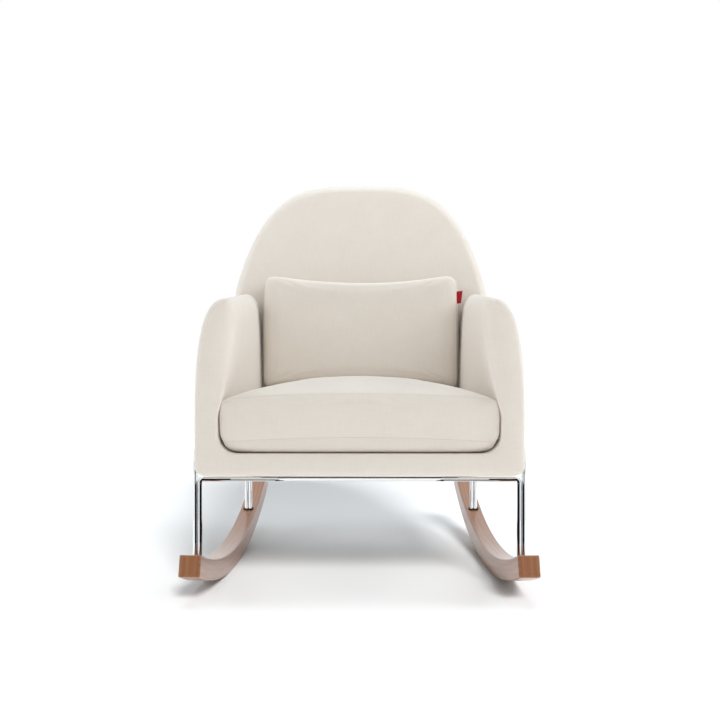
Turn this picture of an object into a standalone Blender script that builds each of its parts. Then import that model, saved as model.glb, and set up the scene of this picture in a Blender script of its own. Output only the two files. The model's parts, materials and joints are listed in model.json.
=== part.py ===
"""Upholstered rocking chair on a chrome rod base with two walnut rockers.

Metres, +Z up.  The chair faces -Y, +X is the sitter's left.  The origin is the middle of the
footprint at floor level.
"""
import math

import bmesh
import bpy
from mathutils import Vector

# Fits
GAP = 0.0003
SEAM = 0.00015
FOOT_GAP = 0.0005

# Main lines of the shell, from which the other widths, depths and heights are set out
WAIST_HALF_WIDTH = 0.2935
WAIST_Z = 0.330
SHELL_FRONT_Y = -0.445
SHELL_BOTTOM_Z = 0.2495
BACK_PLANE_Y = 0.148
BACK_PLANE_Z = 0.440
BACK_LEAN = math.tan(math.radians(14.0))
BACK_TOP_Z = 0.9375

# Rockers
ROCKER_RADIUS = 1.290
ROCKER_DEPTH = 0.043
ROCKER_WIDTH = 0.042
ROCKER_EDGE = 0.006
ROCKER_HALF_LENGTH = 0.4735
ROCKER_OUTSET = 0.0133
ROCKER_HALF_TRACK = WAIST_HALF_WIDTH + ROCKER_OUTSET
TOE_IN = math.atan(0.0437)
CONTACT_V = -0.0801
FRONT_LEG_SETBACK = 0.0546
FRONT_LEG_V = SHELL_FRONT_Y + FRONT_LEG_SETBACK
REAR_LEG_SETBACK = 0.0972
REAR_LEG_V = BACK_PLANE_Y + REAR_LEG_SETBACK
FLAT_ANGLE = math.radians(2.9)
LEG_FLAT_ANGLE = math.radians(2.4)

# Mounting plates
PLATE_THICKNESS = 0.005
PLATE_HALF_WIDTH = 0.016
PLATE_LENGTH = (0.040, 0.102)
PLATE_LAP = 0.006
PLATE_X = 0.180
BOLT_RADIUS = 0.003
BOLT_HEAD_RADIUS = 0.006
BOLT_HEAD_HEIGHT = 0.004
BOLT_BITE = 0.015
BOLT_EDGE = (0.022, 0.085)

# Chrome rods
ROD_RADIUS = 0.00475
ROD_SIDES = 12
ROD_OFFSET = ROD_RADIUS + SEAM
ROD_STRAIGHT = 0.040
PLATE_CLEARANCE = 0.00045
RAIL_Z = SHELL_BOTTOM_Z - PLATE_CLEARANCE - PLATE_THICKNESS - GAP - ROD_RADIUS
RAIL_BEND = 0.014
LOOP_BEND = 0.100
LOOP_RISE = 0.0975
LOOP_TOP_Z = SHELL_BOTTOM_Z + LOOP_RISE
SOCKET_DEPTH = 0.012
COLLAR_RIM = 0.004
COLLAR_THICKNESS = 0.003
STUD_RADIUS = 0.003
NUT_RADIUS = 0.0065
NUT_HEIGHT = 0.006
NUT_POCKET_RADIUS = 0.009
NUT_POCKET_DEPTH = 0.012
STUD_TAIL = 0.002

# Seat frame
TIMBER_RISE = 0.003
TIMBER_BOTTOM_Z = SHELL_BOTTOM_Z + TIMBER_RISE
TIMBER_THICKNESS = 0.022
TIMBER_TOP_Z = TIMBER_BOTTOM_Z + TIMBER_THICKNESS
FRONT_RAIL_COVER = 0.025
FRONT_RAIL_WIDTH = 0.064
FRONT_RAIL_Y = (SHELL_FRONT_Y + FRONT_RAIL_COVER, SHELL_FRONT_Y + FRONT_RAIL_COVER + FRONT_RAIL_WIDTH)
REAR_RAIL_WIDTH = 0.137
REAR_RAIL_LAP = 0.024
REAR_RAIL_Y = (BACK_PLANE_Y + REAR_RAIL_LAP - REAR_RAIL_WIDTH, BACK_PLANE_Y + REAR_RAIL_LAP)
SIDE_RAIL_COVER = 0.0075
SIDE_RAIL_WIDTH = 0.044
SIDE_RAIL_OUTER = WAIST_HALF_WIDTH - SIDE_RAIL_COVER
SIDE_RAIL_X = (SIDE_RAIL_OUTER - SIDE_RAIL_WIDTH, SIDE_RAIL_OUTER)
FRONT_RAIL_HALF = SIDE_RAIL_OUTER
REAR_RAIL_COVER = 0.0315
REAR_RAIL_HALF = WAIST_HALF_WIDTH - REAR_RAIL_COVER
BLOCK_LEG = 0.050

# Upholstered arms and front
SHELL_FILLET = 0.022
BORDER_HEIGHT = 0.048
BORDER_TOP_Z = SHELL_BOTTOM_Z + BORDER_HEIGHT
BORDER_DEPTH = 0.047
BORDER_ROUND = 0.016
BORDER_INSET = 0.022
BORDER_HALF_WIDTH = WAIST_HALF_WIDTH - BORDER_INSET
ARM_FRONT_FLARE = 0.0295
ARM_FRONT_WIDEST = WAIST_HALF_WIDTH + ARM_FRONT_FLARE
ARM_FRONT_SHOULDER = (ARM_FRONT_WIDEST - 0.0165, 0.529)
ARM_FRONT_TOP = (ARM_FRONT_WIDEST - 0.061, 0.5995)
ARM_FRONT_INNER = (ARM_FRONT_WIDEST - 0.0805, 0.547)
ARM_FRONT_FOOT = (ARM_FRONT_WIDEST - 0.050, 0.367)
ARM_SIDE_Z = 0.300
ARM_REAR_SHOULDER_Z = 0.602
ARM_REAR_TOP = (WAIST_HALF_WIDTH - 0.0005, 0.645)
ARM_REAR_INNER = (WAIST_HALF_WIDTH - 0.043, 0.582)
ARM_REAR_FOOT = (WAIST_HALF_WIDTH - 0.047, 0.412)
ARM_FOOT_ROUND = (0.030, 0.009, 0.005)
ARM_PANEL_THICKNESS = 0.012
ARM_PANEL_COVER = 0.031
ARM_PANEL_SETBACK = 0.097
ARM_PANEL_Y = (SHELL_FRONT_Y + ARM_PANEL_COVER, BACK_PLANE_Y - ARM_PANEL_SETBACK)
ARM_PANEL_TOP_COVER = 0.0525
ARM_PANEL_TOP_Z = ARM_FRONT_TOP[1] - ARM_PANEL_TOP_COVER

# Upholstered back
ARCH_BASE_Z = 0.502
ARCH_FLARE = 0.0365
ARCH_HALF_WIDTH = WAIST_HALF_WIDTH + ARCH_FLARE
WIDEST_Z = 0.622
ARCH_START_Z = WIDEST_Z + 0.030
INSIDE_THICKNESS = 0.038
INSIDE_HOLLOW = 0.026
INSIDE_INSET = 0.0215
INSIDE_HALF_WIDTH = WAIST_HALF_WIDTH - INSIDE_INSET
INSIDE_EAR_INSET = 0.025
INSIDE_MIDDLE_Z = 0.600
OUTSIDE_THICKNESS = 0.035
OUTSIDE_WEDGE = 0.038
OUTSIDE_WEDGE_RISE = 0.220
OUTSIDE_CORNER = 0.012
OUTSIDE_MIDDLE_Z = 0.550
BACK_PANEL_THICKNESS = 0.006
BACK_PANEL_INSET = 0.045
BACK_PANEL_COVER = 0.0505
BACK_PANEL_TOP_Z = BACK_TOP_Z - BACK_PANEL_COVER
BACK_PANEL_MIDDLE_Z = 0.580

# Springs and covers
SPRING_WIRE = 0.002
SPRING_SIDES = 6
SPRING_X = (0.060, 0.180)
SPRING_SWING = 0.018
SPRING_BENDS = 9
SPRING_TAIL = 0.012
SPRING_OVERRUN = 0.004
CLIP_SIZE = (0.022, 0.018, 0.009)
CLIP_SETBACK = 0.002
DECK_RISE = 0.0105
DECK_THICKNESS = 0.014
DECK_Z = (TIMBER_TOP_Z + DECK_RISE, TIMBER_TOP_Z + DECK_RISE + DECK_THICKNESS)
DECK_HALF_WIDTH = WAIST_HALF_WIDTH - 0.0315
DECK_CLEARANCE = 0.005
DUST_THICKNESS = 0.0014
DUST_Z = (TIMBER_BOTTOM_Z - GAP - DUST_THICKNESS, TIMBER_BOTTOM_Z - GAP)
DUST_INSET = (0.011, 0.012)

# Loose cushions
CUSHION_SETBACK = 0.006
CUSHION_FRONT_Y = SHELL_FRONT_Y + CUSHION_SETBACK
CUSHION_REAR_ROOM = 0.0825
CUSHION_REAR_Y = BACK_PLANE_Y - CUSHION_REAR_ROOM
CUSHION_HALF_FRONT = WAIST_HALF_WIDTH - 0.023
CUSHION_HALF_REAR = WAIST_HALF_WIDTH - 0.050
CUSHION_REST = 0.0008
CUSHION_BOTTOM_Z = DECK_Z[1] + CUSHION_REST
CUSHION_HEIGHT = 0.1002
CUSHION_CROWN = 0.042
CUSHION_SIDE_Z = CUSHION_BOTTOM_Z + CUSHION_HEIGHT
CUSHION_CROWN_Z = CUSHION_SIDE_Z + CUSHION_CROWN
CUSHION_CORNER = 0.045
CUSHION_PULL = 0.004
PILLOW_SIDE_ROOM = 0.0545
PILLOW_HALF_WIDTH = WAIST_HALF_WIDTH - PILLOW_SIDE_ROOM
PILLOW_HALF_HEIGHT = 0.129
PILLOW_THICKNESS = 0.104
PILLOW_FILL = 1.02
PILLOW_LEAN = math.atan(BACK_LEAN)
PILLOW_TOP_DIP = 0.085
PILLOW_FOOT_DIP = 0.02
PILLOW_RISE = 0.132
PILLOW_REST_Z = CUSHION_SIDE_Z + PILLOW_RISE
TAB_SIZE = (0.013, 0.0016, 0.032)
TAB_RISE = 0.074

ARC_CENTRE_Z = ROCKER_RADIUS * math.cos(FLAT_ANGLE)
SIDES = (("left", 1.0), ("right", -1.0))


def principled(name, colour, roughness, metallic=0.0):
    """Make one Principled material of a plain colour."""
    material = bpy.data.materials.new(name)
    material.use_nodes = True
    shader = material.node_tree.nodes["Principled BSDF"]
    shader.inputs["Base Color"].default_value = (*colour, 1.0)
    shader.inputs["Roughness"].default_value = roughness
    shader.inputs["Metallic"].default_value = metallic
    material.diffuse_color = (*colour, 1.0)
    return material


def solid(name, points, faces, material):
    """Make a closed triangulated object with outward faces."""
    mesh = bpy.data.meshes.new(name)
    build = bmesh.new()
    corners = [build.verts.new(point) for point in points]
    for face in faces:
        build.faces.new([corners[index] for index in face])
    bmesh.ops.recalc_face_normals(build, faces=build.faces)
    bmesh.ops.triangulate(build, faces=build.faces)
    build.to_mesh(mesh)
    build.free()
    thing = bpy.data.objects.new(name, mesh)
    bpy.context.scene.collection.objects.link(thing)
    mesh.materials.append(material)
    return thing


def loft(name, rings, material):
    """Skin equal rings of points, closing the first and the last ring with a cap each."""
    count = len(rings[0])
    points = [point for ring in rings for point in ring]
    faces = []
    for level in range(len(rings) - 1):
        low = level * count
        high = low + count
        for step in range(count):
            after = (step + 1) % count
            faces.append((low + step, low + after, high + after, high + step))
    faces.append(tuple(range(count)))
    last = (len(rings) - 1) * count
    faces.append(tuple(last + step for step in range(count)))
    return solid(name, points, faces, material)


def dome(name, rings, first, last, material):
    """Skin equal rings and close both ends with a fan to a single point."""
    count = len(rings[0])
    points = [point for ring in rings for point in ring] + [first, last]
    faces = []
    for level in range(len(rings) - 1):
        low = level * count
        high = low + count
        for step in range(count):
            after = (step + 1) % count
            faces.append((low + step, low + after, high + after, high + step))
    start = len(rings) * count
    top = (len(rings) - 1) * count
    for step in range(count):
        after = (step + 1) % count
        faces.append((start, after, step))
        faces.append((start + 1, top + step, top + after))
    return solid(name, points, faces, material)


def prism(name, outline, low, high, material):
    """Extrude an outline of (x, y) points from z = low to z = high."""
    rings = [[(x, y, z) for x, y in outline] for z in (low, high)]
    return loft(name, rings, material)


def block(name, xs, ys, zs, material):
    """Make a box from its limits."""
    outline = [(xs[0], ys[0]), (xs[1], ys[0]), (xs[1], ys[1]), (xs[0], ys[1])]
    return prism(name, outline, zs[0], zs[1], material)


def disc(name, centre, radius, low, high, sides, material):
    """Make an upright cylinder."""
    outline = []
    for step in range(sides):
        turn = 2.0 * math.pi * step / sides
        outline.append((centre[0] + radius * math.cos(turn), centre[1] + radius * math.sin(turn)))
    return prism(name, outline, low, high, material)


def sweep(name, path, radius, sides, normal, material):
    """Sweep a round section along a path lying in the plane with the given normal."""
    normal = Vector(normal).normalized()
    path = [Vector(point) for point in path]
    rings = []
    for index, point in enumerate(path):
        before = path[max(index - 1, 0)]
        after = path[min(index + 1, len(path) - 1)]
        ahead = (point - before).normalized() + (after - point).normalized()
        across = normal.cross(ahead).normalized()
        ring = []
        for step in range(sides):
            turn = 2.0 * math.pi * step / sides
            ring.append(point + radius * (math.cos(turn) * normal + math.sin(turn) * across))
        rings.append(ring)
    return loft(name, rings, material)


def cut(thing, cutters):
    """Take the cutters out of the object and remove them."""
    for cutter in cutters:
        cutter.hide_render = True
        cutter.display_type = "WIRE"
        step = thing.modifiers.new("cut", "BOOLEAN")
        step.operation = "DIFFERENCE"
        step.solver = "EXACT"
        step.object = cutter
        bpy.context.view_layer.update()
        graph = bpy.context.evaluated_depsgraph_get()
        mesh = bpy.data.meshes.new_from_object(thing.evaluated_get(graph))
        thing.modifiers.remove(step)
        old = thing.data
        thing.data = mesh
        mesh.name = thing.name
        bpy.data.meshes.remove(old)
        spare = cutter.data
        bpy.data.objects.remove(cutter)
        bpy.data.meshes.remove(spare)
    build = bmesh.new()
    build.from_mesh(thing.data)
    bmesh.ops.remove_doubles(build, verts=build.verts, dist=0.000001)
    bmesh.ops.triangulate(build, faces=build.faces)
    build.to_mesh(thing.data)
    build.free()
    return thing


def mirror(thing, name):
    """Copy an object to the other side of the chair."""
    build = bmesh.new()
    build.from_mesh(thing.data)
    for corner in build.verts:
        corner.co.x = -corner.co.x
    bmesh.ops.reverse_faces(build, faces=build.faces)
    mesh = bpy.data.meshes.new(name)
    build.to_mesh(mesh)
    build.free()
    for material in thing.data.materials:
        mesh.materials.append(material)
    twin = bpy.data.objects.new(name, mesh)
    bpy.context.scene.collection.objects.link(twin)
    return twin


def smoothstep(value):
    """Ease from 0 to 1."""
    value = min(max(value, 0.0), 1.0)
    return value * value * (3.0 - 2.0 * value)


def arc(centre, radius, start, end, steps):
    """Points of an arc as (horizontal, height) pairs."""
    points = []
    for step in range(steps + 1):
        turn = start + (end - start) * step / steps
        points.append((centre[0] + radius * math.cos(turn), centre[1] + radius * math.sin(turn)))
    return points


def place(side, u, v, z):
    """Map rocker coordinates, u outwards and v to the rear, into the chair."""
    x = ROCKER_HALF_TRACK + u * math.cos(TOE_IN) - v * math.sin(TOE_IN)
    y = u * math.sin(TOE_IN) + v * math.cos(TOE_IN)
    return Vector((side * x, y, z))


def leg_angle(v):
    """Angle along the rocker at which a leg meets its top."""
    return math.asin((v - CONTACT_V) / (ROCKER_RADIUS - ROCKER_DEPTH))


def rocker_z(v, depth):
    """Height of the rocker at a leg, depth measured up from the underside."""
    radius = ROCKER_RADIUS - depth
    angle = math.asin((v - CONTACT_V) / radius)
    return ARC_CENTRE_Z - radius * math.cos(angle)


def obround(u_half, v_half, steps):
    """Outline of a slot across the rocker as (u, v) pairs."""
    straight = u_half - v_half
    points = []
    for centre, start in ((straight, -0.5 * math.pi), (-straight, 0.5 * math.pi)):
        for step in range(steps + 1):
            turn = start + math.pi * step / steps
            points.append((centre + v_half * math.cos(turn), v_half * math.sin(turn)))
    return points


def slot_prism(name, side, v, u_half, v_half, low, high, material):
    """Upright slot-shaped body centred on a leg."""
    rings = []
    for z in (low, high):
        rings.append([place(side, u, v + step, z) for u, step in obround(u_half, v_half, 6)])
    return loft(name, rings, material)


def rocker(name, side, material):
    """Bent rocker with leg slots in its top and nut pockets in its underside."""
    ends = [math.asin((sign * ROCKER_HALF_LENGTH - CONTACT_V) / ROCKER_RADIUS) for sign in (-1.0, 1.0)]
    front = leg_angle(FRONT_LEG_V)
    rear = leg_angle(REAR_LEG_V)
    angles = [ends[0], front - LEG_FLAT_ANGLE, front + LEG_FLAT_ANGLE]
    angles.append(0.5 * (front + LEG_FLAT_ANGLE - FLAT_ANGLE))
    angles += [-FLAT_ANGLE, FLAT_ANGLE, 0.5 * (rear - LEG_FLAT_ANGLE + FLAT_ANGLE)]
    angles += [rear - LEG_FLAT_ANGLE, rear + LEG_FLAT_ANGLE]
    angles += [0.5 * (rear + LEG_FLAT_ANGLE + ends[1]), ends[1]]
    half = 0.5 * ROCKER_WIDTH
    edge = ROCKER_EDGE
    soft = 0.3 * edge
    section = [(-half + edge, 0.0), (half - edge, 0.0), (half - soft, soft), (half, edge)]
    section += [(half, ROCKER_DEPTH - edge), (half - soft, ROCKER_DEPTH - soft), (half - edge, ROCKER_DEPTH)]
    section += [(-half + edge, ROCKER_DEPTH), (-half + soft, ROCKER_DEPTH - soft)]
    section += [(-half, ROCKER_DEPTH - edge), (-half, edge), (-half + soft, soft)]
    rings = []
    for angle in angles:
        ring = []
        for u, depth in section:
            radius = ROCKER_RADIUS - depth
            v = CONTACT_V + radius * math.sin(angle)
            ring.append(place(side, u, v, ARC_CENTRE_Z - radius * math.cos(angle)))
        rings.append(ring)
    body = loft(name, rings, material)
    cutters = []
    u_half = ROD_OFFSET + ROD_RADIUS + GAP
    for v in (FRONT_LEG_V, REAR_LEG_V):
        top = rocker_z(v, ROCKER_DEPTH)
        low = rocker_z(v, 0.0)
        slot_low = top - SOCKET_DEPTH
        slot_high = top + ROCKER_DEPTH
        cutters.append(slot_prism("slot", side, v, u_half, ROD_RADIUS + GAP, slot_low, slot_high, material))
        centre = place(side, -ROD_OFFSET, v, 0.0)
        cutters.append(disc("bore", centre, STUD_RADIUS + GAP, low, top, 12, material))
        pocket = (low - ROCKER_DEPTH, low + NUT_POCKET_DEPTH)
        cutters.append(disc("pocket", centre, NUT_POCKET_RADIUS, *pocket, 16, material))
    return cut(body, cutters)


def collar(name, side, v, material):
    """Slot-shaped ring lying on the sloping rocker top around a rod pair."""
    angle = leg_angle(v)
    top = rocker_z(v, ROCKER_DEPTH)
    flat_drop = (ROCKER_RADIUS - ROCKER_DEPTH) * (1.0 - math.cos(LEG_FLAT_ANGLE))
    u_half = ROD_OFFSET + ROD_RADIUS + COLLAR_RIM
    v_half = ROD_RADIUS + COLLAR_RIM
    rings = []
    for rise in (GAP + flat_drop, GAP + flat_drop + COLLAR_THICKNESS):
        ring = []
        for u, step in obround(u_half, v_half, 6):
            along = v + step * math.cos(angle) - rise * math.sin(angle)
            ring.append(place(side, u, along, top + step * math.sin(angle) + rise * math.cos(angle)))
        rings.append(ring)
    body = loft(name, rings, material)
    u_hole = ROD_OFFSET + ROD_RADIUS + GAP
    low = top - ROCKER_DEPTH
    hole = slot_prism("hole", side, v, u_hole, ROD_RADIUS + GAP, low, top + ROCKER_DEPTH, material)
    return cut(body, [hole])


def side_loop(name, side, material):
    """Outer rod: up from the front leg, back along the side of the seat and down the rear leg."""
    foot = [rocker_z(v, ROCKER_DEPTH) - SOCKET_DEPTH + GAP for v in (FRONT_LEG_V, REAR_LEG_V)]
    front = FRONT_LEG_V
    rear = REAR_LEG_V
    line = [(front, foot[0]), (front, LOOP_TOP_Z - LOOP_BEND - ROD_STRAIGHT)]
    line += arc((front + LOOP_BEND, LOOP_TOP_Z - LOOP_BEND), LOOP_BEND, math.pi, 0.5 * math.pi, 7)
    line += arc((rear - LOOP_BEND, LOOP_TOP_Z - LOOP_BEND), LOOP_BEND, 0.5 * math.pi, 0.0, 7)
    line += [(rear, LOOP_TOP_Z - LOOP_BEND - ROD_STRAIGHT), (rear, foot[1])]
    path = [place(side, ROD_OFFSET, v, z) for v, z in line]
    across = place(side, 1.0, 0.0, 0.0) - place(side, 0.0, 0.0, 0.0)
    return sweep(name, path, ROD_RADIUS, ROD_SIDES, across, material)


def cross_loop(name, v, material):
    """Inner rod: up one leg, across under the seat and down the other, with a stud at each foot."""
    left = place(1.0, -ROD_OFFSET, v, 0.0)
    half = left.x
    top = rocker_z(v, ROCKER_DEPTH)
    foot = top - SOCKET_DEPTH + GAP
    tail = rocker_z(v, 0.0) + NUT_POCKET_DEPTH - GAP - NUT_HEIGHT - STUD_TAIL
    line = [(half, tail), (half, foot), (half, foot), (half, RAIL_Z - RAIL_BEND - ROD_STRAIGHT)]
    line += arc((half - RAIL_BEND, RAIL_Z - RAIL_BEND), RAIL_BEND, 0.0, 0.5 * math.pi, 5)
    line += [(-x, z) for x, z in reversed(line)]
    radii = [STUD_RADIUS, STUD_RADIUS] + [ROD_RADIUS] * (len(line) - 4) + [STUD_RADIUS, STUD_RADIUS]
    rings = []
    path = [Vector((x, left.y, z)) for x, z in line]
    normal = Vector((0.0, 1.0, 0.0))
    for index, point in enumerate(path):
        ahead = Vector((0.0, 0.0, 0.0))
        for other, sign in ((index - 1, -1.0), (index + 1, 1.0)):
            if 0 <= other < len(path) and (path[other] - point).length > 0.0:
                ahead += sign * (path[other] - point).normalized()
        across = normal.cross(ahead).normalized()
        ring = []
        for step in range(ROD_SIDES):
            turn = 2.0 * math.pi * step / ROD_SIDES
            ring.append(point + radii[index] * (math.cos(turn) * normal + math.sin(turn) * across))
        rings.append(ring)
    return loft(name, rings, material)


def leg_nut(name, side, v, material):
    """Hexagonal nut on the stud, up in its pocket."""
    centre = place(side, -ROD_OFFSET, v, 0.0)
    high = rocker_z(v, 0.0) + NUT_POCKET_DEPTH - GAP
    low = high - NUT_HEIGHT
    nut = disc(name, centre, NUT_RADIUS, low, high, 6, material)
    bore = (low - NUT_HEIGHT, high + NUT_HEIGHT)
    return cut(nut, [disc("bore", centre, STUD_RADIUS + GAP, *bore, 12, material)])


def back_plane(z):
    """Depth of the leaning plane between the inside and the outside back."""
    return BACK_PLANE_Y + BACK_LEAN * (z - BACK_PLANE_Z)


def back_half_width(z):
    """Half width of the back, a rounded arch above and a drawn-in waist below."""
    def arch(height):
        share = max((height - ARCH_BASE_Z) / (BACK_TOP_Z - ARCH_BASE_Z), 0.0)
        return ARCH_HALF_WIDTH * max(1.0 - share ** 1.9, 0.0) ** (1.0 / 3.0)
    if z >= WIDEST_Z:
        return arch(z)
    share = smoothstep((z - WAIST_Z) / (WIDEST_Z - WAIST_Z))
    return WAIST_HALF_WIDTH + (arch(WIDEST_Z) - WAIST_HALF_WIDTH) * share


def arch_points(inset, low, high, steps):
    """Right-hand edge of the arch from low to high as (half width, z), closer spaced at the top."""
    points = []
    for step in range(steps + 1):
        share = math.sin(0.5 * math.pi * step / steps)
        z = low + (high - low) * share
        points.append((max(back_half_width(z + inset * share) - inset, 0.0), z))
    return points


def arm_section(rear):
    """Outline of the arm as (x, z) points: foot, outer side, rounded top, inner side."""
    bottom = SHELL_BOTTOM_Z
    if rear:
        shoulder_z = ARM_REAR_SHOULDER_Z
        top, inner, foot = ARM_REAR_TOP, ARM_REAR_INNER, ARM_REAR_FOOT
        bend = 1.0
    else:
        shoulder_z = ARM_FRONT_SHOULDER[1]
        top, inner, foot = ARM_FRONT_TOP, ARM_FRONT_INNER, ARM_FRONT_FOOT
        bend = 1.3

    def outer(z):
        if rear:
            return back_half_width(z)
        share = max((z - ARM_SIDE_Z) / (shoulder_z - ARM_SIDE_Z), 0.0)
        return ARM_FRONT_WIDEST - (ARM_FRONT_WIDEST - ARM_FRONT_SHOULDER[0]) * share ** 1.8

    far, near, rise = ARM_FOOT_ROUND
    points = [(foot[0] - 3.0 * FOOT_GAP, bottom), (outer(bottom) - far, bottom)]
    points.append((outer(bottom) - near, bottom + rise))
    for share in (0.07, 0.22, 0.38, 0.54, 0.70, 0.85):
        z = bottom + (shoulder_z - bottom) * share
        points.append((outer(z), z))
    for step in range(5):
        turn = 0.5 * math.pi * step / 4
        reach = outer(shoulder_z) - top[0]
        z = shoulder_z + (top[1] - shoulder_z) * math.sin(turn)
        points.append((top[0] + reach * math.cos(turn), z))
    for step in range(1, 4):
        turn = 0.5 * math.pi * step / 3
        x = top[0] - (top[0] - inner[0]) * math.sin(turn)
        points.append((x, inner[1] + (top[1] - inner[1]) * math.cos(turn)))
    for share in (0.25, 0.5, 0.75, 1.0):
        z = inner[1] + (foot[1] - inner[1]) * share
        points.append((inner[0] + (foot[0] - inner[0]) * share ** bend, z))
    points.append((foot[0] - FOOT_GAP, 0.5 * (foot[1] + bottom)))
    return points


def outward(section):
    """Unit outward directions at the points of a section listed anticlockwise in (x, z)."""
    result = []
    count = len(section)
    for index in range(count):
        before = section[index - 1]
        after = section[(index + 1) % count]
        dx = after[0] - before[0]
        dz = after[1] - before[1]
        size = math.hypot(dx, dz)
        result.append((dz / size, -dx / size))
    return result


def arm_pad(name, side, grow, material):
    """Padded arm: a section that changes from the rounded front to the leaning back plane."""
    front = arm_section(False)
    rear = arm_section(True)
    stations = []
    for turn in (90.0, 60.0, 30.0, 0.0):
        angle = math.radians(turn)
        depth = SHELL_FILLET * (1.0 - math.sin(angle))
        stations.append((depth, None, SHELL_FILLET * (1.0 - math.cos(angle))))
    for share in (0.12, 0.28, 0.46, 0.64, 0.82, 1.0):
        stations.append((None, share, 0.0))
    rings = []
    for depth, share, inset in stations:
        mixed = []
        for (x0, z0), (x1, z1) in zip(front, rear):
            z_end = z0 + (z1 - z0)
            reach = back_plane(z_end) - SEAM - SHELL_FRONT_Y
            part = depth / reach if share is None else share
            mixed.append((x0 + (x1 - x0) * part, z0 + (z1 - z0) * part, part, reach))
        ways = outward([(x, z) for x, z, part, reach in mixed])
        ring = []
        for (x, z, part, reach), (nx, nz) in zip(mixed, ways):
            pull = inset
            if nx < 0.0 and z < BORDER_TOP_Z + SHELL_FILLET:
                pull = 0.0
            y = SHELL_FRONT_Y + part * reach
            if part < 0.0001:
                y -= grow
            if part > 0.999:
                y += grow
            ring.append((side * (x + nx * (grow - pull)), y, z + nz * (grow - pull)))
        rings.append(ring)
    return loft(name, rings, material)


def mirrored(half):
    """Close a right-hand edge listed from low to high into a full outline."""
    left = [(-x, z) for x, z in reversed(half) if x > 0.0005]
    return list(half) + left


def back_rings(outline, centre, profile, depth_of):
    """Shrink an outline towards its centre while moving it off the back plane."""
    rings = []
    for scale, share in profile:
        ring = []
        for x, z in outline:
            x_in = centre[0] + (x - centre[0]) * scale
            z_in = centre[1] + (z - centre[1]) * scale
            ring.append((x_in, back_plane(z_in) + depth_of(x_in, z_in, share), z_in))
        rings.append(ring)
    return rings


def inside_back(name, material):
    """Front pad of the back, hollowed from side to side."""
    wide = INSIDE_HALF_WIDTH
    half = [(wide * share, TIMBER_TOP_Z + GAP) for share in (0.0, 0.26, 0.52, 0.77, 1.0)]
    half += [(wide, BACK_PLANE_Z), (wide, ARM_REAR_SHOULDER_Z)]
    half.append((ARCH_HALF_WIDTH - INSIDE_EAR_INSET, WIDEST_Z))
    half += arch_points(0.0, ARCH_START_Z, BACK_TOP_Z, 10)

    def depth_of(x, z, share):
        thick = INSIDE_THICKNESS + INSIDE_HOLLOW * (x / ARCH_HALF_WIDTH) ** 2
        return -SEAM - share * thick

    profile = [(1.0, 0.0), (0.998, 0.40), (0.985, 0.72), (0.96, 0.91), (0.915, 1.0), (0.60, 1.0), (0.30, 1.0)]
    middle = INSIDE_MIDDLE_Z
    rings = back_rings(mirrored(half), (0.0, middle), profile, depth_of)
    first = (0.0, back_plane(middle) - SEAM, middle)
    last = (0.0, back_plane(middle) - SEAM - INSIDE_THICKNESS, middle)
    return dome(name, rings, first, last, material)


def outside_depth(z):
    """Distance of the outside back behind the back plane, growing to a wedge at the foot."""
    share = smoothstep((z - SHELL_BOTTOM_Z) / OUTSIDE_WEDGE_RISE)
    return OUTSIDE_THICKNESS + OUTSIDE_WEDGE * (1.0 - share)


def outside_back(name, material):
    """Rear pad of the back, from the floor of the shell to the top of the arch."""
    half = [(WAIST_HALF_WIDTH - OUTSIDE_CORNER, SHELL_BOTTOM_Z)]
    half.append((WAIST_HALF_WIDTH, SHELL_BOTTOM_Z + OUTSIDE_CORNER))
    for share in (0.0, 0.24, 0.48, 0.72, 0.93):
        z = WAIST_Z + (WIDEST_Z - WAIST_Z) * share
        half.append((back_half_width(z), z))
    half += arch_points(0.0, ARCH_START_Z, BACK_TOP_Z, 10)

    def depth_of(x, z, share):
        return SEAM + share * (outside_depth(z) - SEAM)

    profile = [(1.0, 0.0), (0.999, 0.45), (0.99, 0.70), (0.965, 0.89)]
    profile += [(0.915, 1.0), (0.60, 1.03), (0.30, 1.04)]
    outline = mirrored(half)
    middle = OUTSIDE_MIDDLE_Z
    rings = back_rings(outline, (0.0, middle), profile, depth_of)
    for ring in rings[:4]:
        for index, (x, y, z) in enumerate(ring):
            if outline[index][1] == SHELL_BOTTOM_Z:
                ring[index] = (x, y, SHELL_BOTTOM_Z)
    first = (0.0, back_plane(middle) + SEAM, middle)
    last = (0.0, back_plane(middle) + 1.045 * outside_depth(middle), middle)
    return dome(name, rings, first, last, material)


def front_border(name, material):
    """Padded strip across the front, under the cushion."""
    front = SHELL_FRONT_Y
    rear = front + BORDER_DEPTH
    low = SHELL_BOTTOM_Z
    high = BORDER_TOP_Z
    radius = BORDER_ROUND
    section = [(rear, low)]
    section += arc((front + radius, low + radius), radius, 1.5 * math.pi, math.pi, 3)
    section += arc((front + radius, high - radius), radius, math.pi, 0.5 * math.pi, 3)
    section += [(rear, high)]
    rings = []
    for sign in (-1.0, 1.0):
        half = BORDER_HALF_WIDTH - GAP
        rings.append([(sign * (half - math.tan(TOE_IN) * (y - front)), y, z) for y, z in section])
    return loft(name, rings, material)


def taper(x, y):
    """Move a side inwards towards the rear by the toe-in of the base."""
    return x - math.tan(TOE_IN) * (y - FRONT_RAIL_Y[1])


def side_outline(xs, ys, side):
    """Plan of a piece that follows the toe-in between two depths."""
    outline = []
    for y, pair in ((ys[0], xs), (ys[1], xs[::-1])):
        outline += [(side * taper(x, y), y) for x in pair]
    return outline


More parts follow.
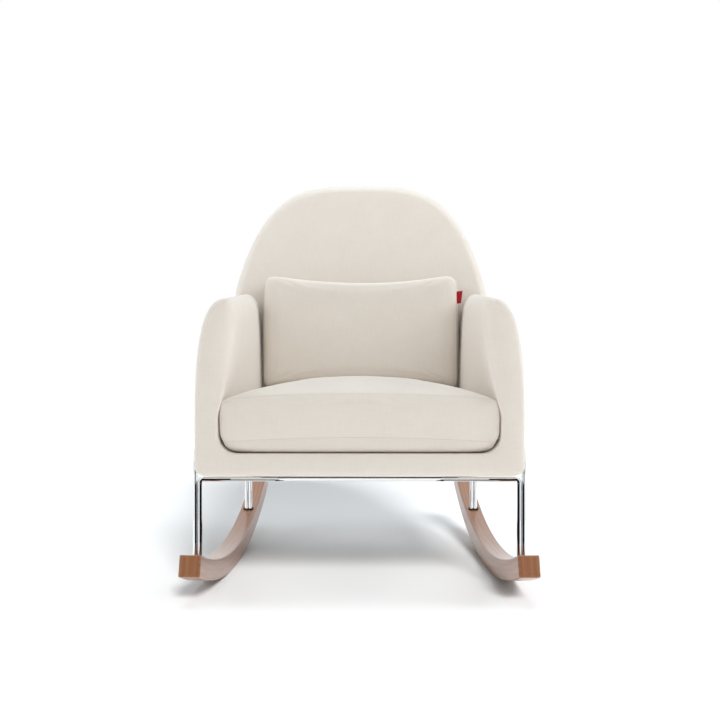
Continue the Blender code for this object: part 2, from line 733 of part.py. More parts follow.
def timber_cutters(side, material):
    """Room for the timber in a padded arm, open below."""
    low = SHELL_BOTTOM_Z - TIMBER_THICKNESS
    high = TIMBER_TOP_Z + GAP
    xs = (SIDE_RAIL_X[0] - GAP, SIDE_RAIL_X[1] + GAP)
    rail = side_outline(xs, (FRONT_RAIL_Y[1] - FOOT_GAP, REAR_RAIL_Y[0] + FOOT_GAP), side)
    panel_xs = (SIDE_RAIL_X[1] + SEAM, SIDE_RAIL_X[1] + ARM_PANEL_THICKNESS + 3.0 * GAP)
    panel = side_outline(panel_xs, (ARM_PANEL_Y[0] - GAP, ARM_PANEL_Y[1] + GAP), side)
    return [
        prism("rail_room", rail, low, high, material),
        prism("panel_room", panel, low, ARM_PANEL_TOP_Z + GAP, material),
        rail_block("front_room", FRONT_RAIL_Y, FRONT_RAIL_HALF, GAP, low, material),
        rail_block("rear_room", REAR_RAIL_Y, REAR_RAIL_HALF, GAP, low, material),
    ]


def rail_block(name, ys, half, grow, low, material):
    """Cross rail, or the room it takes when grown and run down through the bottom."""
    xs = (-half - grow, half + grow)
    return block(name, xs, (ys[0] - grow, ys[1] + grow), (low, TIMBER_TOP_Z + grow), material)


def back_panel(name, grow, material):
    """Sheet behind the back plane, let into the outside back."""
    half = [(back_half_width(TIMBER_TOP_Z) - BACK_PANEL_INSET, TIMBER_TOP_Z + GAP)]
    for share in (0.1, 0.5, 0.92):
        z = WAIST_Z + (WIDEST_Z - WAIST_Z) * share
        half.append((back_half_width(z) - BACK_PANEL_INSET, z))
    half += arch_points(BACK_PANEL_INSET, ARCH_START_Z, BACK_PANEL_TOP_Z, 6)
    outline = mirrored(half)
    centre_z = BACK_PANEL_MIDDLE_Z
    near = GAP - (INSIDE_THICKNESS if grow else 0.0)
    far = GAP + BACK_PANEL_THICKNESS + grow
    rings = []
    for depth in (near, far):
        ring = []
        for x, z in outline:
            x_out = x + math.copysign(grow, x) if x else 0.0
            z_out = z + (grow if z > centre_z else -grow)
            ring.append((x_out, back_plane(z_out) + depth, z_out))
        rings.append(ring)
    return loft(name, rings, material)


def spring(name, x, material):
    """Sinuous wire from the front rail to the rear rail."""
    z = TIMBER_TOP_Z + GAP + 0.5 * CLIP_SIZE[2]
    start = FRONT_RAIL_Y[1] - 0.5 * CLIP_SIZE[1] - SPRING_OVERRUN
    end = REAR_RAIL_Y[0] + 0.5 * CLIP_SIZE[1] + SPRING_OVERRUN
    first = FRONT_RAIL_Y[1] + SPRING_TAIL
    last = REAR_RAIL_Y[0] - SPRING_TAIL
    pitch = (last - first) / SPRING_BENDS
    line = [(x, start), (x, first)]
    for bend in range(SPRING_BENDS):
        sign = 1.0 if bend % 2 == 0 else -1.0
        for share in (0.22, 0.40, 0.60, 0.78):
            reach = SPRING_SWING * math.sin(math.pi * share) ** 0.6
            line.append((x + sign * reach, first + pitch * (bend + share)))
    line += [(x, last), (x, end)]
    path = [(px, py, z) for px, py in line]
    return sweep(name, path, SPRING_WIRE, SPRING_SIDES, (0.0, 0.0, 1.0), material)


def spring_clip(name, x, y, material):
    """Folded clip holding a spring end on the rail."""
    low = TIMBER_TOP_Z + GAP
    high = low + CLIP_SIZE[2]
    wide = 0.5 * CLIP_SIZE[0]
    deep = 0.5 * CLIP_SIZE[1]
    clip = block(name, (x - wide, x + wide), (y - deep, y + deep), (low, high), material)
    room = SPRING_WIRE + GAP
    middle = 0.5 * (low + high)
    ys = (y - CLIP_SIZE[1], y + CLIP_SIZE[1])
    hole = block("hole", (x - room, x + room), ys, (middle - room, middle + room), material)
    return cut(clip, [hole])


def cushion_outline(inset):
    """Plan of the cushion, rounded at its corners and tapering to the rear."""
    front = CUSHION_FRONT_Y + inset
    rear = CUSHION_REAR_Y - inset
    radius = max(CUSHION_CORNER - 0.6 * inset, 0.01)

    def half_at(y):
        share = (y - CUSHION_FRONT_Y) / (CUSHION_REAR_Y - CUSHION_FRONT_Y)
        pull = CUSHION_PULL * (1.0 - (2.0 * share - 1.0) ** 2)
        return CUSHION_HALF_FRONT + (CUSHION_HALF_REAR - CUSHION_HALF_FRONT) * share - inset - pull

    points = []
    for corner, centre_y in ((0, front + radius), (1, rear - radius)):
        for step in range(4):
            turn = 0.5 * math.pi * (step / 3.0 + corner - 1.0)
            y = centre_y + radius * math.sin(turn)
            points.append((half_at(y) - radius + radius * math.cos(turn), y))
        if corner == 0:
            for share in (0.33, 0.67):
                y = front + radius + (rear - front - 2.0 * radius) * share
                points.append((half_at(y), y))
    mirrored_half = [(-x, y) for x, y in reversed(points)]
    ring = points + [(0.0, rear)] + mirrored_half + [(0.0, front)]
    return ring


def seat_cushion(name, material):
    """Boxed cushion with soft edges, drawn-in sides and a crowned top."""
    low = CUSHION_BOTTOM_Z
    side = CUSHION_SIDE_Z
    crown = CUSHION_CROWN_Z
    levels = [(0.030, low), (0.010, low + 0.003), (0.002, low + 0.013)]
    levels += [(0.0, low + 0.032), (0.0005, low + 0.060), (0.004, side - 0.014)]
    levels += [(0.011, side + 0.002), (0.024, side + 0.013), (0.055, side + 0.025)]
    levels += [(0.105, crown - 0.010), (0.165, crown - 0.003)]
    rings = [[(x, y, z) for x, y in cushion_outline(inset)] for inset, z in levels]
    middle = 0.5 * (CUSHION_FRONT_Y + CUSHION_REAR_Y)
    return dome(name, rings, (0.0, middle, low), (0.0, middle, crown), material)


def pillow_point(x, rise, off):
    """Place a pillow point: along its width, up its face and off its middle plane to the front."""
    c = math.cos(PILLOW_LEAN)
    s = math.sin(PILLOW_LEAN)
    off += 0.5 * PILLOW_FILL * PILLOW_THICKNESS + 2.0 * GAP
    face = back_plane(PILLOW_REST_Z) - INSIDE_THICKNESS
    return (x, face + rise * s - off * c, PILLOW_REST_Z + rise * c + off * s)


def pillow_edge():
    """Knife edge of the pillow: four pulled-out corners and slightly hollow sides."""
    points = []
    count = 32
    for step in range(count):
        turn = 2.0 * math.pi * (step + 0.5) / count
        cx = math.cos(turn)
        sx = math.sin(turn)
        size = (abs(cx) ** 7 + abs(sx) ** 7) ** (-1.0 / 7.0)
        x = PILLOW_HALF_WIDTH * cx * size
        rise = PILLOW_HALF_HEIGHT * sx * size
        x *= 1.0 - 0.018 * (1.0 - (rise / PILLOW_HALF_HEIGHT) ** 2)
        dip = PILLOW_TOP_DIP if rise > 0.0 else PILLOW_FOOT_DIP
        rise *= 1.0 - dip * (1.0 - (x / PILLOW_HALF_WIDTH) ** 2)
        points.append((x, rise))
    return points


def lumbar_pillow(name, material):
    """Knife-edge pillow, fullest in the middle."""
    edge = pillow_edge()
    half = 0.5 * PILLOW_THICKNESS
    shares = ((0.25, 1.0), (0.5, 0.93), (0.72, 0.72), (0.87, 0.45), (0.96, 0.19))
    rings = []
    for scale, fill in shares:
        rings.append([pillow_point(x * scale, rise * scale, -half * fill) for x, rise in edge])
    rings.append([pillow_point(x, rise, 0.0) for x, rise in edge])
    for scale, fill in reversed(shares):
        rings.append([pillow_point(x * scale, rise * scale, half * fill) for x, rise in edge])
    peak = PILLOW_FILL * half
    return dome(name, rings, pillow_point(0.0, 0.0, -peak), pillow_point(0.0, 0.0, peak), material)


def pillow_tab(name, material):
    """Blank label tab standing off the left edge of the pillow."""
    wide, thick, tall = TAB_SIZE
    edge = max(x for x, rise in pillow_edge() if abs(rise - TAB_RISE) < 0.5 * tall + 0.02)
    points = []
    for off in (-0.5 * thick, 0.5 * thick):
        for x, rise in ((0.0, -0.5), (1.0, -0.44), (1.0, 0.56), (0.0, 0.5)):
            points.append(pillow_point(edge + GAP + x * wide, TAB_RISE + rise * tall, off))
    faces = [(0, 1, 2, 3), (4, 5, 6, 7)]
    faces += [(step, (step + 1) % 4, 4 + (step + 1) % 4, 4 + step) for step in range(4)]
    return solid(name, points, faces, material)


def mounting(kind, side, label, ys, bolt_y, steel, dark, rails):
    """Plate on a chrome rail and its bolt, with holes in the plate and in the timber rail."""
    x = side * PLATE_X
    low = RAIL_Z + ROD_RADIUS + GAP
    high = low + PLATE_THICKNESS
    xs = (x - PLATE_HALF_WIDTH, x + PLATE_HALF_WIDTH)
    plate = block(f"mount_plate_{kind}_{label}", xs, ys, (low, high), steel)
    bore = (low - PLATE_THICKNESS, high + PLATE_THICKNESS)
    hole = disc("hole", (x, bolt_y), BOLT_RADIUS + GAP, *bore, 12, steel)
    cut(plate, [hole])
    top = TIMBER_BOTTOM_Z + BOLT_BITE
    points = []
    head_low = low - GAP - BOLT_HEAD_HEIGHT
    levels = [(BOLT_HEAD_RADIUS, head_low), (BOLT_HEAD_RADIUS, low - GAP)]
    levels += [(BOLT_RADIUS, low - GAP), (BOLT_RADIUS, top)]
    for radius, z in levels:
        ring = []
        for step in range(12):
            turn = 2.0 * math.pi * step / 12
            ring.append((x + radius * math.cos(turn), bolt_y + radius * math.sin(turn), z))
        points.append(ring)
    loft(f"mount_bolt_{kind}_{label}", points, dark)
    room = disc("room", (x, bolt_y), BOLT_RADIUS + GAP, TIMBER_BOTTOM_Z - BOLT_BITE, top + GAP, 12, steel)
    cut(rails[kind], [room])
    return (x, bolt_y)


def build():
    """Make every piece of the chair."""
    walnut = principled("walnut", (0.32, 0.16, 0.085), 0.35)
    chrome = principled("chrome", (0.86, 0.87, 0.88), 0.07, 1.0)
    steel = principled("zinc_steel", (0.55, 0.56, 0.57), 0.35, 1.0)
    dark = principled("dark_steel", (0.03, 0.03, 0.032), 0.45, 0.6)
    linen = principled("cream_fabric", (0.74, 0.68, 0.60), 0.92)
    beech = principled("beech", (0.56, 0.38, 0.22), 0.6)
    sheet = principled("plywood", (0.60, 0.44, 0.27), 0.65)
    black = principled("black_cloth", (0.02, 0.02, 0.022), 0.95)
    felt = principled("deck_felt", (0.58, 0.55, 0.50), 0.95)
    red = principled("tab_red", (0.42, 0.02, 0.03), 0.7)

    mirror(rocker("rocker_left", 1.0, walnut), "rocker_right")
    for label, side in SIDES:
        side_loop(f"side_loop_{label}", side, chrome)
        for kind, v in (("front", FRONT_LEG_V), ("rear", REAR_LEG_V)):
            collar(f"leg_collar_{kind}_{label}", side, v, dark)
            leg_nut(f"leg_nut_{kind}_{label}", side, v, steel)
    cross_loop("front_loop", FRONT_LEG_V, chrome)
    cross_loop("rear_loop", REAR_LEG_V, chrome)

    low = TIMBER_BOTTOM_Z
    rails = {
        "front": rail_block("seat_front_rail", FRONT_RAIL_Y, FRONT_RAIL_HALF, 0.0, low, beech),
        "rear": rail_block("seat_rear_rail", REAR_RAIL_Y, REAR_RAIL_HALF, 0.0, low, beech),
    }
    front_y = place(1.0, 0.0, FRONT_LEG_V, 0.0).y
    rear_y = place(1.0, 0.0, REAR_LEG_V, 0.0).y
    bolts = []
    for label, side in SIDES:
        ys = (front_y - PLATE_LAP, front_y - PLATE_LAP + PLATE_LENGTH[0])
        bolts.append(mounting("front", side, label, ys, front_y + BOLT_EDGE[0], steel, dark, rails))
        ys = (rear_y + PLATE_LAP - PLATE_LENGTH[1], rear_y + PLATE_LAP)
        bolts.append(mounting("rear", side, label, ys, rear_y - BOLT_EDGE[1], steel, dark, rails))

    for label, side in SIDES:
        ys = (FRONT_RAIL_Y[1] + GAP, REAR_RAIL_Y[0] - GAP)
        prism(f"seat_side_rail_{label}", side_outline(SIDE_RAIL_X, ys, side), low, TIMBER_TOP_Z, beech)
        for kind, y, way in (("front", FRONT_RAIL_Y[1] + GAP, 1.0), ("rear", REAR_RAIL_Y[0] - GAP, -1.0)):
            near = SIDE_RAIL_X[0] - GAP
            outline = [
                (side * taper(near, y), y),
                (side * taper(near, y + way * BLOCK_LEG), y + way * BLOCK_LEG),
                (side * (taper(near, y) - BLOCK_LEG), y),
            ]
            prism(f"corner_block_{kind}_{label}", outline, low, TIMBER_TOP_Z, beech)
        panel_xs = (SIDE_RAIL_X[1] + 2.0 * GAP, SIDE_RAIL_X[1] + 2.0 * GAP + ARM_PANEL_THICKNESS)
        prism(f"arm_panel_{label}", side_outline(panel_xs, ARM_PANEL_Y, side), low, ARM_PANEL_TOP_Z, sheet)
    arm = cut(arm_pad("arm_pad_left", 1.0, 0.0, linen), timber_cutters(1.0, linen))
    mirror(arm, "arm_pad_right")

    for number, x in enumerate((-SPRING_X[1], -SPRING_X[0], SPRING_X[0], SPRING_X[1]), 1):
        spring(f"seat_spring_{number}", x, steel)
        inset = 0.5 * CLIP_SIZE[1] + CLIP_SETBACK
        spring_clip(f"spring_clip_front_{number}", x, FRONT_RAIL_Y[1] - inset, steel)
        spring_clip(f"spring_clip_rear_{number}", x, REAR_RAIL_Y[0] + inset, steel)

    deck_rear = back_plane(DECK_Z[0]) - INSIDE_THICKNESS - 0.7 * INSIDE_HOLLOW - DECK_CLEARANCE
    deck_ys = (SHELL_FRONT_Y + BORDER_DEPTH + 2.0 * GAP, deck_rear)
    deck = side_outline((-DECK_HALF_WIDTH, DECK_HALF_WIDTH), deck_ys, 1.0)
    deck[0] = (-deck[1][0], deck_ys[0])
    deck[3] = (-deck[2][0], deck_ys[1])
    prism("deck_pad", deck, DECK_Z[0], DECK_Z[1], felt)
    dust_ys = (FRONT_RAIL_Y[0] + DUST_INSET[1], REAR_RAIL_Y[1] - DUST_INSET[1])
    near, far = [taper(SIDE_RAIL_X[1] - DUST_INSET[0], y) for y in dust_ys]
    dust = [(-near, dust_ys[0]), (near, dust_ys[0]), (far, dust_ys[1]), (-far, dust_ys[1])]
    cover = prism("dust_cover", dust, DUST_Z[0], DUST_Z[1], black)
    dust_room = (DUST_Z[0] - TIMBER_THICKNESS, DUST_Z[1] + TIMBER_THICKNESS)
    cut(cover, [disc("hole", spot, BOLT_RADIUS + GAP, *dust_room, 12, black) for spot in bolts])

    back_panel("back_panel", 0.0, sheet)
    room_low = SHELL_BOTTOM_Z - TIMBER_THICKNESS
    rear_room = rail_block("rear_room", REAR_RAIL_Y, REAR_RAIL_HALF, GAP, room_low, linen)
    cut(outside_back("outside_back", linen), [rear_room, back_panel("panel_room", GAP, linen)])
    arms = [arm_pad("arm_room", side, GAP, linen) for label, side in SIDES]
    cut(inside_back("inside_back", linen), arms)
    front_room = rail_block("front_room", FRONT_RAIL_Y, FRONT_RAIL_HALF, GAP, room_low, linen)
    cut(front_border("front_border", linen), [front_room])

    seat_cushion("seat_cushion", linen)
    lumbar_pillow("lumbar_pillow", linen)
    pillow_tab("pillow_tab", red)


for old in list(bpy.data.objects):
    bpy.data.objects.remove(old)
build()
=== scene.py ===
"""Looks of an upholstered rocking chair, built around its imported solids.

Laid out as a Blender add-on and run as a script.  Metres, +Z up.  The chair faces -Y and +X is
the sitter's left.
"""
import json
import math

import bmesh
import bpy
import numpy as np
from bpy.props import FloatProperty, FloatVectorProperty, IntProperty, PointerProperty
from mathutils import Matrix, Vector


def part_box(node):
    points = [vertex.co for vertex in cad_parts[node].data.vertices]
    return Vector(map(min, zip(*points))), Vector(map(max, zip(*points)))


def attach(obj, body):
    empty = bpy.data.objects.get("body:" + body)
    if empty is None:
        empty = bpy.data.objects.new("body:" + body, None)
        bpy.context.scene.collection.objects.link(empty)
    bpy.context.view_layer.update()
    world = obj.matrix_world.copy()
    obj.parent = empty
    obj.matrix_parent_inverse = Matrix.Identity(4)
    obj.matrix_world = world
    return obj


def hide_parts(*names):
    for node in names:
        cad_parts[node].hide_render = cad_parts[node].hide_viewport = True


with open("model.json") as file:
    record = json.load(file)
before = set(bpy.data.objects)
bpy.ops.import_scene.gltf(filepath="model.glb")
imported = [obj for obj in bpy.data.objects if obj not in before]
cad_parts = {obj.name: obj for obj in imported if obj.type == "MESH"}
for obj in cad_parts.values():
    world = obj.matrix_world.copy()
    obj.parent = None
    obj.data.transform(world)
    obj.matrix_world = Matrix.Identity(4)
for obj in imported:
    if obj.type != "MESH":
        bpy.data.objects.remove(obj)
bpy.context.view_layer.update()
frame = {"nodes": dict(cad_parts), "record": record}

bl_info = {
    "name": "Upholstered rocking chair",
    "version": (1, 0, 0),
    "blender": (4, 5, 0),
    "location": "3D View > Sidebar > Rocking chair",
    "description": "Dresses the packed solids of a rocking chair in linen, chrome and walnut",
    "category": "Object",
}

QUARTER_TURN = 0.5 * math.pi
FULL_TURN = 2.0 * math.pi
SIDES = (("left", 1.0), ("right", -1.0))
MIRROR = np.array([-1.0, 1.0])
HAIRLINE = 0.00015
MERGE_DISTANCE = 0.000004
LEAST_EDGE = 0.000001

# Back
WAIST_HALF_WIDTH = 0.2935
WAIST_Z = 0.330
BACK_PLANE_Y = 0.148
BACK_PLANE_Z = 0.440
BACK_ANGLE = math.radians(14.0)
BACK_TOP_Z = 0.9375
ARCH_BASE_Z = 0.400
ARCH_HALF_WIDTH = 0.3480
ARCH_START_Z = 0.655
ARCH_POWER = 1.9
ARCH_ROOT = 3.5
INSIDE_HALF_WIDTH = 0.272
INSIDE_THICKNESS = 0.038
INSIDE_HOLLOW = 0.026
INSIDE_BOTTOM_Z = 0.2748
INSIDE_CORNER = 0.012
INSIDE_CENTRE_Z = 0.60
INSIDE_ROLL = 0.93
INSIDE_WIDENS_Z = 0.575
INSIDE_WIDENS_RISE = 0.075
OUTSIDE_THICKNESS = 0.035
OUTSIDE_WEDGE = 0.038
OUTSIDE_WEDGE_RISE = 0.220
OUTSIDE_CORNER = 0.014
OUTSIDE_CENTRE_Z = 0.55
OUTSIDE_ROLL = 0.90
OUTSIDE_CROWN = 0.045
OUTSIDE_SEAM = 0.030
FOOT_SQUARENESS = 14.0
FOOT_SQUARE_RISE = 0.02
FOOT_SQUARE_RISE_FADE = 0.06
FOOT_SQUARE_HALF_WIDTH = 0.264
FOOT_SQUARE_SIDE_FADE = 0.018
BACK_EDGE_TUCK = 0.0016
BACK_EDGE_LIP = 0.0022
BACK_RIPPLE = 0.0008
BACK_CALM = 0.004
BACK_CALM_FADE = 0.02

# Arms and skirt
SHELL_FRONT_Y = -0.445
SHELL_BOTTOM_Z = 0.2495
BORDER_TOP_Z = 0.2940
BORDER_DEPTH = 0.047
ARM_FRONT_WIDEST = 0.3238
ARM_FRONT_TOP = (0.257, 0.5972)
ARM_FRONT_INNER = (0.2425, 0.547)
ARM_FRONT_FOOT = (0.2778, 0.367)
ARM_FRONT_BEND = 1.3
ARM_FRONT_POWER = 3.2
ARM_FRONT_ROOT = 2.7
ARM_SIDE_Z = 0.300
ARM_REAR_SHOULDER_Z = 0.602
ARM_REAR_TOP = (0.293, 0.648)
ARM_REAR_INNER = (0.2530, 0.590)
ARM_REAR_FOOT = (0.2320, 0.412)
ARM_REAR_BEND = 0.85
ARM_FOOT_EASE = 0.0005
HEEL_WIDTH = 0.023
HEEL_HEIGHT = 0.018
SKIRT_STEPS = 22.0
SKIRT_EASE_STEPS = 6.0
CREST_STEPS = 20.0
LARGE_ROUND_Z = 0.52
LARGE_ROUND_FALL = 0.13
FRONT_CROWN = 0.0015
FRONT_CROWN_START = 0.6
FRONT_CROWN_REACH = 0.03
FRONT_HELD_SHARE = 0.25
FRONT_HELD_FADE = 0.5
FRONT_SMOOTHING = 30
ARM_RIPPLE = 0.0007
ARM_CALM_DEPTH = 0.05

# Rockers and rods
ROCKER_RADIUS = 1.290
ROCKER_DEPTH = 0.043
ROCKER_WIDTH = 0.042
ROCKER_HALF_LENGTH = 0.4735
ROCKER_HALF_TRACK = 0.3068
ROCKER_LEAST_EDGE = 0.0008
END_GRAIN_SQUEEZE = 0.35
END_GRAIN_SHIFT = 0.4
TOE_IN = math.atan(0.0437)
CONTACT_V = -0.0801
CONTACT_ANGLE = math.radians(2.9)
ARC_CENTRE_Z = ROCKER_RADIUS * math.cos(CONTACT_ANGLE)
FRONT_LEG_V = -0.3904
REAR_LEG_V = 0.2452
LEGS = (("front", FRONT_LEG_V), ("rear", REAR_LEG_V))
ROD_RADIUS = 0.00475
ROD_OFFSET = ROD_RADIUS + HAIRLINE
RAIL_Z = 0.239
RAIL_BEND = 0.0075
LOOP_BEND = 0.100
LOOP_TOP_Z = 0.347
SOCKET_DEPTH = 0.0117
STUD_RADIUS = 0.003
STUD_END = 0.0037
STUD_STEP = 0.001
NUT_POCKET_RADIUS = 0.009
NUT_POCKET_DEPTH = 0.012
NUT_POCKET_BELOW = 0.03
NUT_POCKET_SIDES = 40
COLLAR_REACH = ROD_RADIUS + 0.0021
COLLAR_HALF_WIDTH = 0.0020
COLLAR_MIDDLE = 0.0014
COLLAR_HALF_HEIGHT = 0.0019
COLLAR_POWER = 0.7

# Seat cushion, whose knots are (inset, rise over the side) from the upper edge inwards
CUSHION_FRONT_Y = -0.439
CUSHION_REAR_Y = 0.0655
CUSHION_HALF_FRONT = 0.2776
CUSHION_HALF_REAR = 0.2308
CUSHION_BOTTOM_Z = 0.2998
CUSHION_SIDE_Z = 0.400
CUSHION_CROWN_Z = 0.442
CUSHION_CORNER = 0.011
CUSHION_CORNER_SHRINK = 0.3
CUSHION_LEAST_CORNER = 0.008
CUSHION_PULL = 0.001
CUSHION_UNDER_INSET = 0.22
CUSHION_CROWN_INSET = 0.215
CUSHION_FRONT_FOOT = 0.45
CUSHION_FOOT_STRETCH = 1.15
CUSHION_BELLY = 0.0004
CUSHION_BELLY_RISE = 0.066
CUSHION_TOP_PANEL_INSET = 0.008
CUSHION_FOOT_PANEL_INSET = 0.03
CUSHION_DROOP = 0.0044
CUSHION_DROOP_DEPTH = 0.062
CUSHION_DROOP_FADE = 0.02
CUSHION_END_SHARE = 0.75
CUSHION_FOOT_ROWS = 22.0
CUSHION_FOOT_FADE_ROWS = 12.0
CUSHION_FOOT_HEIGHT = 0.03
CUSHION_HELD_HEIGHT = 0.02
CUSHION_LOW_SEAM = 0.0155
CUSHION_LOW_SEAM_BOW = 0.0105
CUSHION_TOP_SEAM = 0.0005
CUSHION_TOP_SEAM_BOW = 0.0125
CUSHION_SEAM_HOLD = 0.6
CUSHION_SEAM_HOLD_WIDTH = 0.006
CUSHION_RIPPLE = 0.0009
CUSHION_SHRINK = 0.002
CUSHION_SWELL_CAP = 0.004
CUSHION_SIDE_KNOTS = (
    (0.0003, -0.012), (0.0016, -0.0046), (0.0055, 0.0002), (0.0130, 0.0036),
    (0.030, 0.0098), (0.060, 0.0190), (0.100, 0.0280), (0.150, 0.0360))
CUSHION_FRONT_KNOTS = (
    (0.0004, 0.003), (0.0020, 0.0098), (0.0062, 0.0146), (0.0130, 0.0176), (0.025, 0.0216),
    (0.042, 0.0268), (0.068, 0.0325), (0.105, 0.0375), (0.150, 0.0405))

# Pillow and tab
PILLOW_HALF_WIDTH = 0.2412
PILLOW_TOP_MIDDLE = 0.1240
PILLOW_TOP_CORNER = 0.1478
PILLOW_TOP_POWER = 2.2
PILLOW_FOOT_MIDDLE = 0.133
PILLOW_FOOT_CORNER = 0.150
PILLOW_SIDE_BULGE = 0.006
PILLOW_FOOT_TAPER = 0.004
PILLOW_UPPER_POWER = 18.0
PILLOW_LOWER_POWER = 24.0
PILLOW_SWELL = 0.045
PILLOW_FILL_POWER = 20.0
PILLOW_FACE_SCALE = 0.86
PILLOW_TURN_SCALE = 0.985
PILLOW_SEAM_SCALE = 0.986
PILLOW_LIP_SCALES = (0.988, 0.992, 1.0)
PILLOW_LIP = 0.0007
PILLOW_OFF = 0.0536
PILLOW_REST_Z = 0.532
PILLOW_EDGE_POINTS = 184
PILLOW_SWELL_CAP = 0.0012
PILLOW_HELD_SCALE = 0.955
PILLOW_HELD_FADE = 0.03
PILLOW_RIPPLE = 0.0012
TAB_SIZE = (0.0145, 0.0016, 0.032)
TAB_RISE = 0.090
TAB_SEWN_IN = 0.004
TAB_LEAN = 0.14
TAB_LIFT = 0.06
TAB_FOLD_GAP = 0.0006

# Deck
DECK_HALF_WIDTH = 0.262
DECK_FRONT_Y = -0.356
DECK_EASE = 0.001
DECK_LOWER = 0.0008
DUST_CLOTH_FROM = 0.0002
DUST_CLOTH_TO = 0.0008

# Cloth
SEAM_REACH = 0.020
SEAM_HALF_WIDTH = 0.0011
GROOVE_WIDTH = 0.0030
# Painted shade: along a seam the cloth's colour is darkened towards its shade colour, standing in for
# shade in the sewn groove
SEAM_PAINTED_SHADE = 0.62
SEAM_PAINTED_SHADE_SHARE = 0.32
SEAM_SINK = -3.0
CLOTH_FRAMES = 20
CLOTH = {
    "quality": 6, "mass": 0.3, "tension_stiffness": 25.0, "compression_stiffness": 25.0,
    "shear_stiffness": 12.0, "bending_stiffness": 2.0, "use_pressure": True,
    "uniform_pressure_force": 3.0, "vertex_group_mass": "held",
}

# Stage: each lamp has a place, a target, a size, a power and a colour
CAMERA_PLACE = (0.011, -2.39, 0.477)
CAMERA_TURN = (QUARTER_TURN, 0.0, 0.005)
CAMERA_LENS = 50.0
CAMERA_SENSOR = 36.0
FLOOR_HALF_SIZE = 30.0
FLOOR_DROP = 0.0005
FLOOR_LIT_COLOUR = (0.62, 0.62, 0.62, 1.0)
FLOOR_SEEN_COLOUR = (0.50, 0.50, 0.50, 1.0)
FLOOR_GLOW_FROM = 1.2
FLOOR_GLOW_TO = 3.6
FLOOR_NEAR_GLOW = 0.06
FLOOR_FAR_GLOW = 0.30
WORLD_COLOUR = (1.0, 0.99, 0.975, 1.0)
WORLD_LIGHT = 0.425
LAMPS = {
    "overhead": ((0.0, 0.36, 2.9), (0.0, -0.1, 0.4), 2.4, 41.0, (0.80, 0.91, 1.0)),
    "side_left": ((-3.0, -0.55, 2.0), (0.0, 0.0, 0.4), 2.0, 33.0, (0.95, 0.98, 1.0)),
    "side_right": ((3.0, -0.55, 2.0), (0.0, 0.0, 0.4), 2.0, 41.0, (0.95, 0.98, 1.0)),
    "front": ((1.4, -3.2, 2.3), (0.0, -0.1, 0.4), 1.8, 19.0, (0.95, 0.98, 1.0)),
}
SUN_POWER = 6.0
SUN_ANGLE = math.radians(14.0)
SUN_TURN = (math.radians(60.0), 0.0, math.radians(13.0))
BOARD_OUTLINE = ((0.17, 0.0), (0.36, 0.0), (0.36, 0.31), (0.27, 0.31), (0.27, 0.215), (0.17, 0.215))
BOARD_Y = -0.49
BOARD_RETURN_Y = -0.37
STRIPS = (((1.10, -1.00), (1.22, -0.88)), ((1.20, 0.90), (0.75, 1.30)))
STRIP_HEIGHT = 0.6
BOARD_COLOUR = (0.01, 0.01, 0.011, 1.0)

FLOAT = "NodeSocketFloat"
COLOUR = "NodeSocketColor"
VECTOR = "NodeSocketVector"


class ChairSizes(bpy.types.PropertyGroup):
    """Sizes that a user would change."""

    rod_radius: FloatProperty(
        name="Rod radius", description="Radius of the chrome rods",
        default=ROD_RADIUS, unit="LENGTH")
    rocker_edge: FloatProperty(
        name="Rocker edge", description="Rounding along the rockers",
        default=0.0028, unit="LENGTH")
    rocker_end: FloatProperty(
        name="Rocker end", description="Rounding round the rockers' end faces",
        default=0.0035, unit="LENGTH")
    front_round: FloatProperty(
        name="Front rounding", description="Rounding of the arm fronts outside",
        default=0.017, unit="LENGTH")
    inner_round: FloatProperty(
        name="Inner rounding", description="Rounding of the arm fronts inside",
        default=0.032, unit="LENGTH")
    skirt_round: FloatProperty(
        name="Skirt rounding", description="Rounding of the skirt's lower edge",
        default=0.013, unit="LENGTH")
    lip_round: FloatProperty(
        name="Lip rounding", description="Rounding of the skirt's upper lip",
        default=0.006, unit="LENGTH")
    inner_corner: FloatProperty(
        name="Inner corner", description="Radius where the arm turns into the skirt",
        default=0.037, unit="LENGTH")
    cushion_corner: FloatProperty(
        name="Cushion foot", description="Rounding of the seat cushion's lower edge",
        default=0.035, unit="LENGTH")
    seam_depth: FloatProperty(
        name="Seam depth", description="Depth of the sewn seams",
        default=0.0012, unit="LENGTH")
    thread: FloatProperty(
        name="Thread", description="Spacing of the linen threads",
        default=0.0011, unit="LENGTH")
    tube_sides: IntProperty(
        name="Tube sides", description="Faces round a chrome rod",
        default=40, min=12)


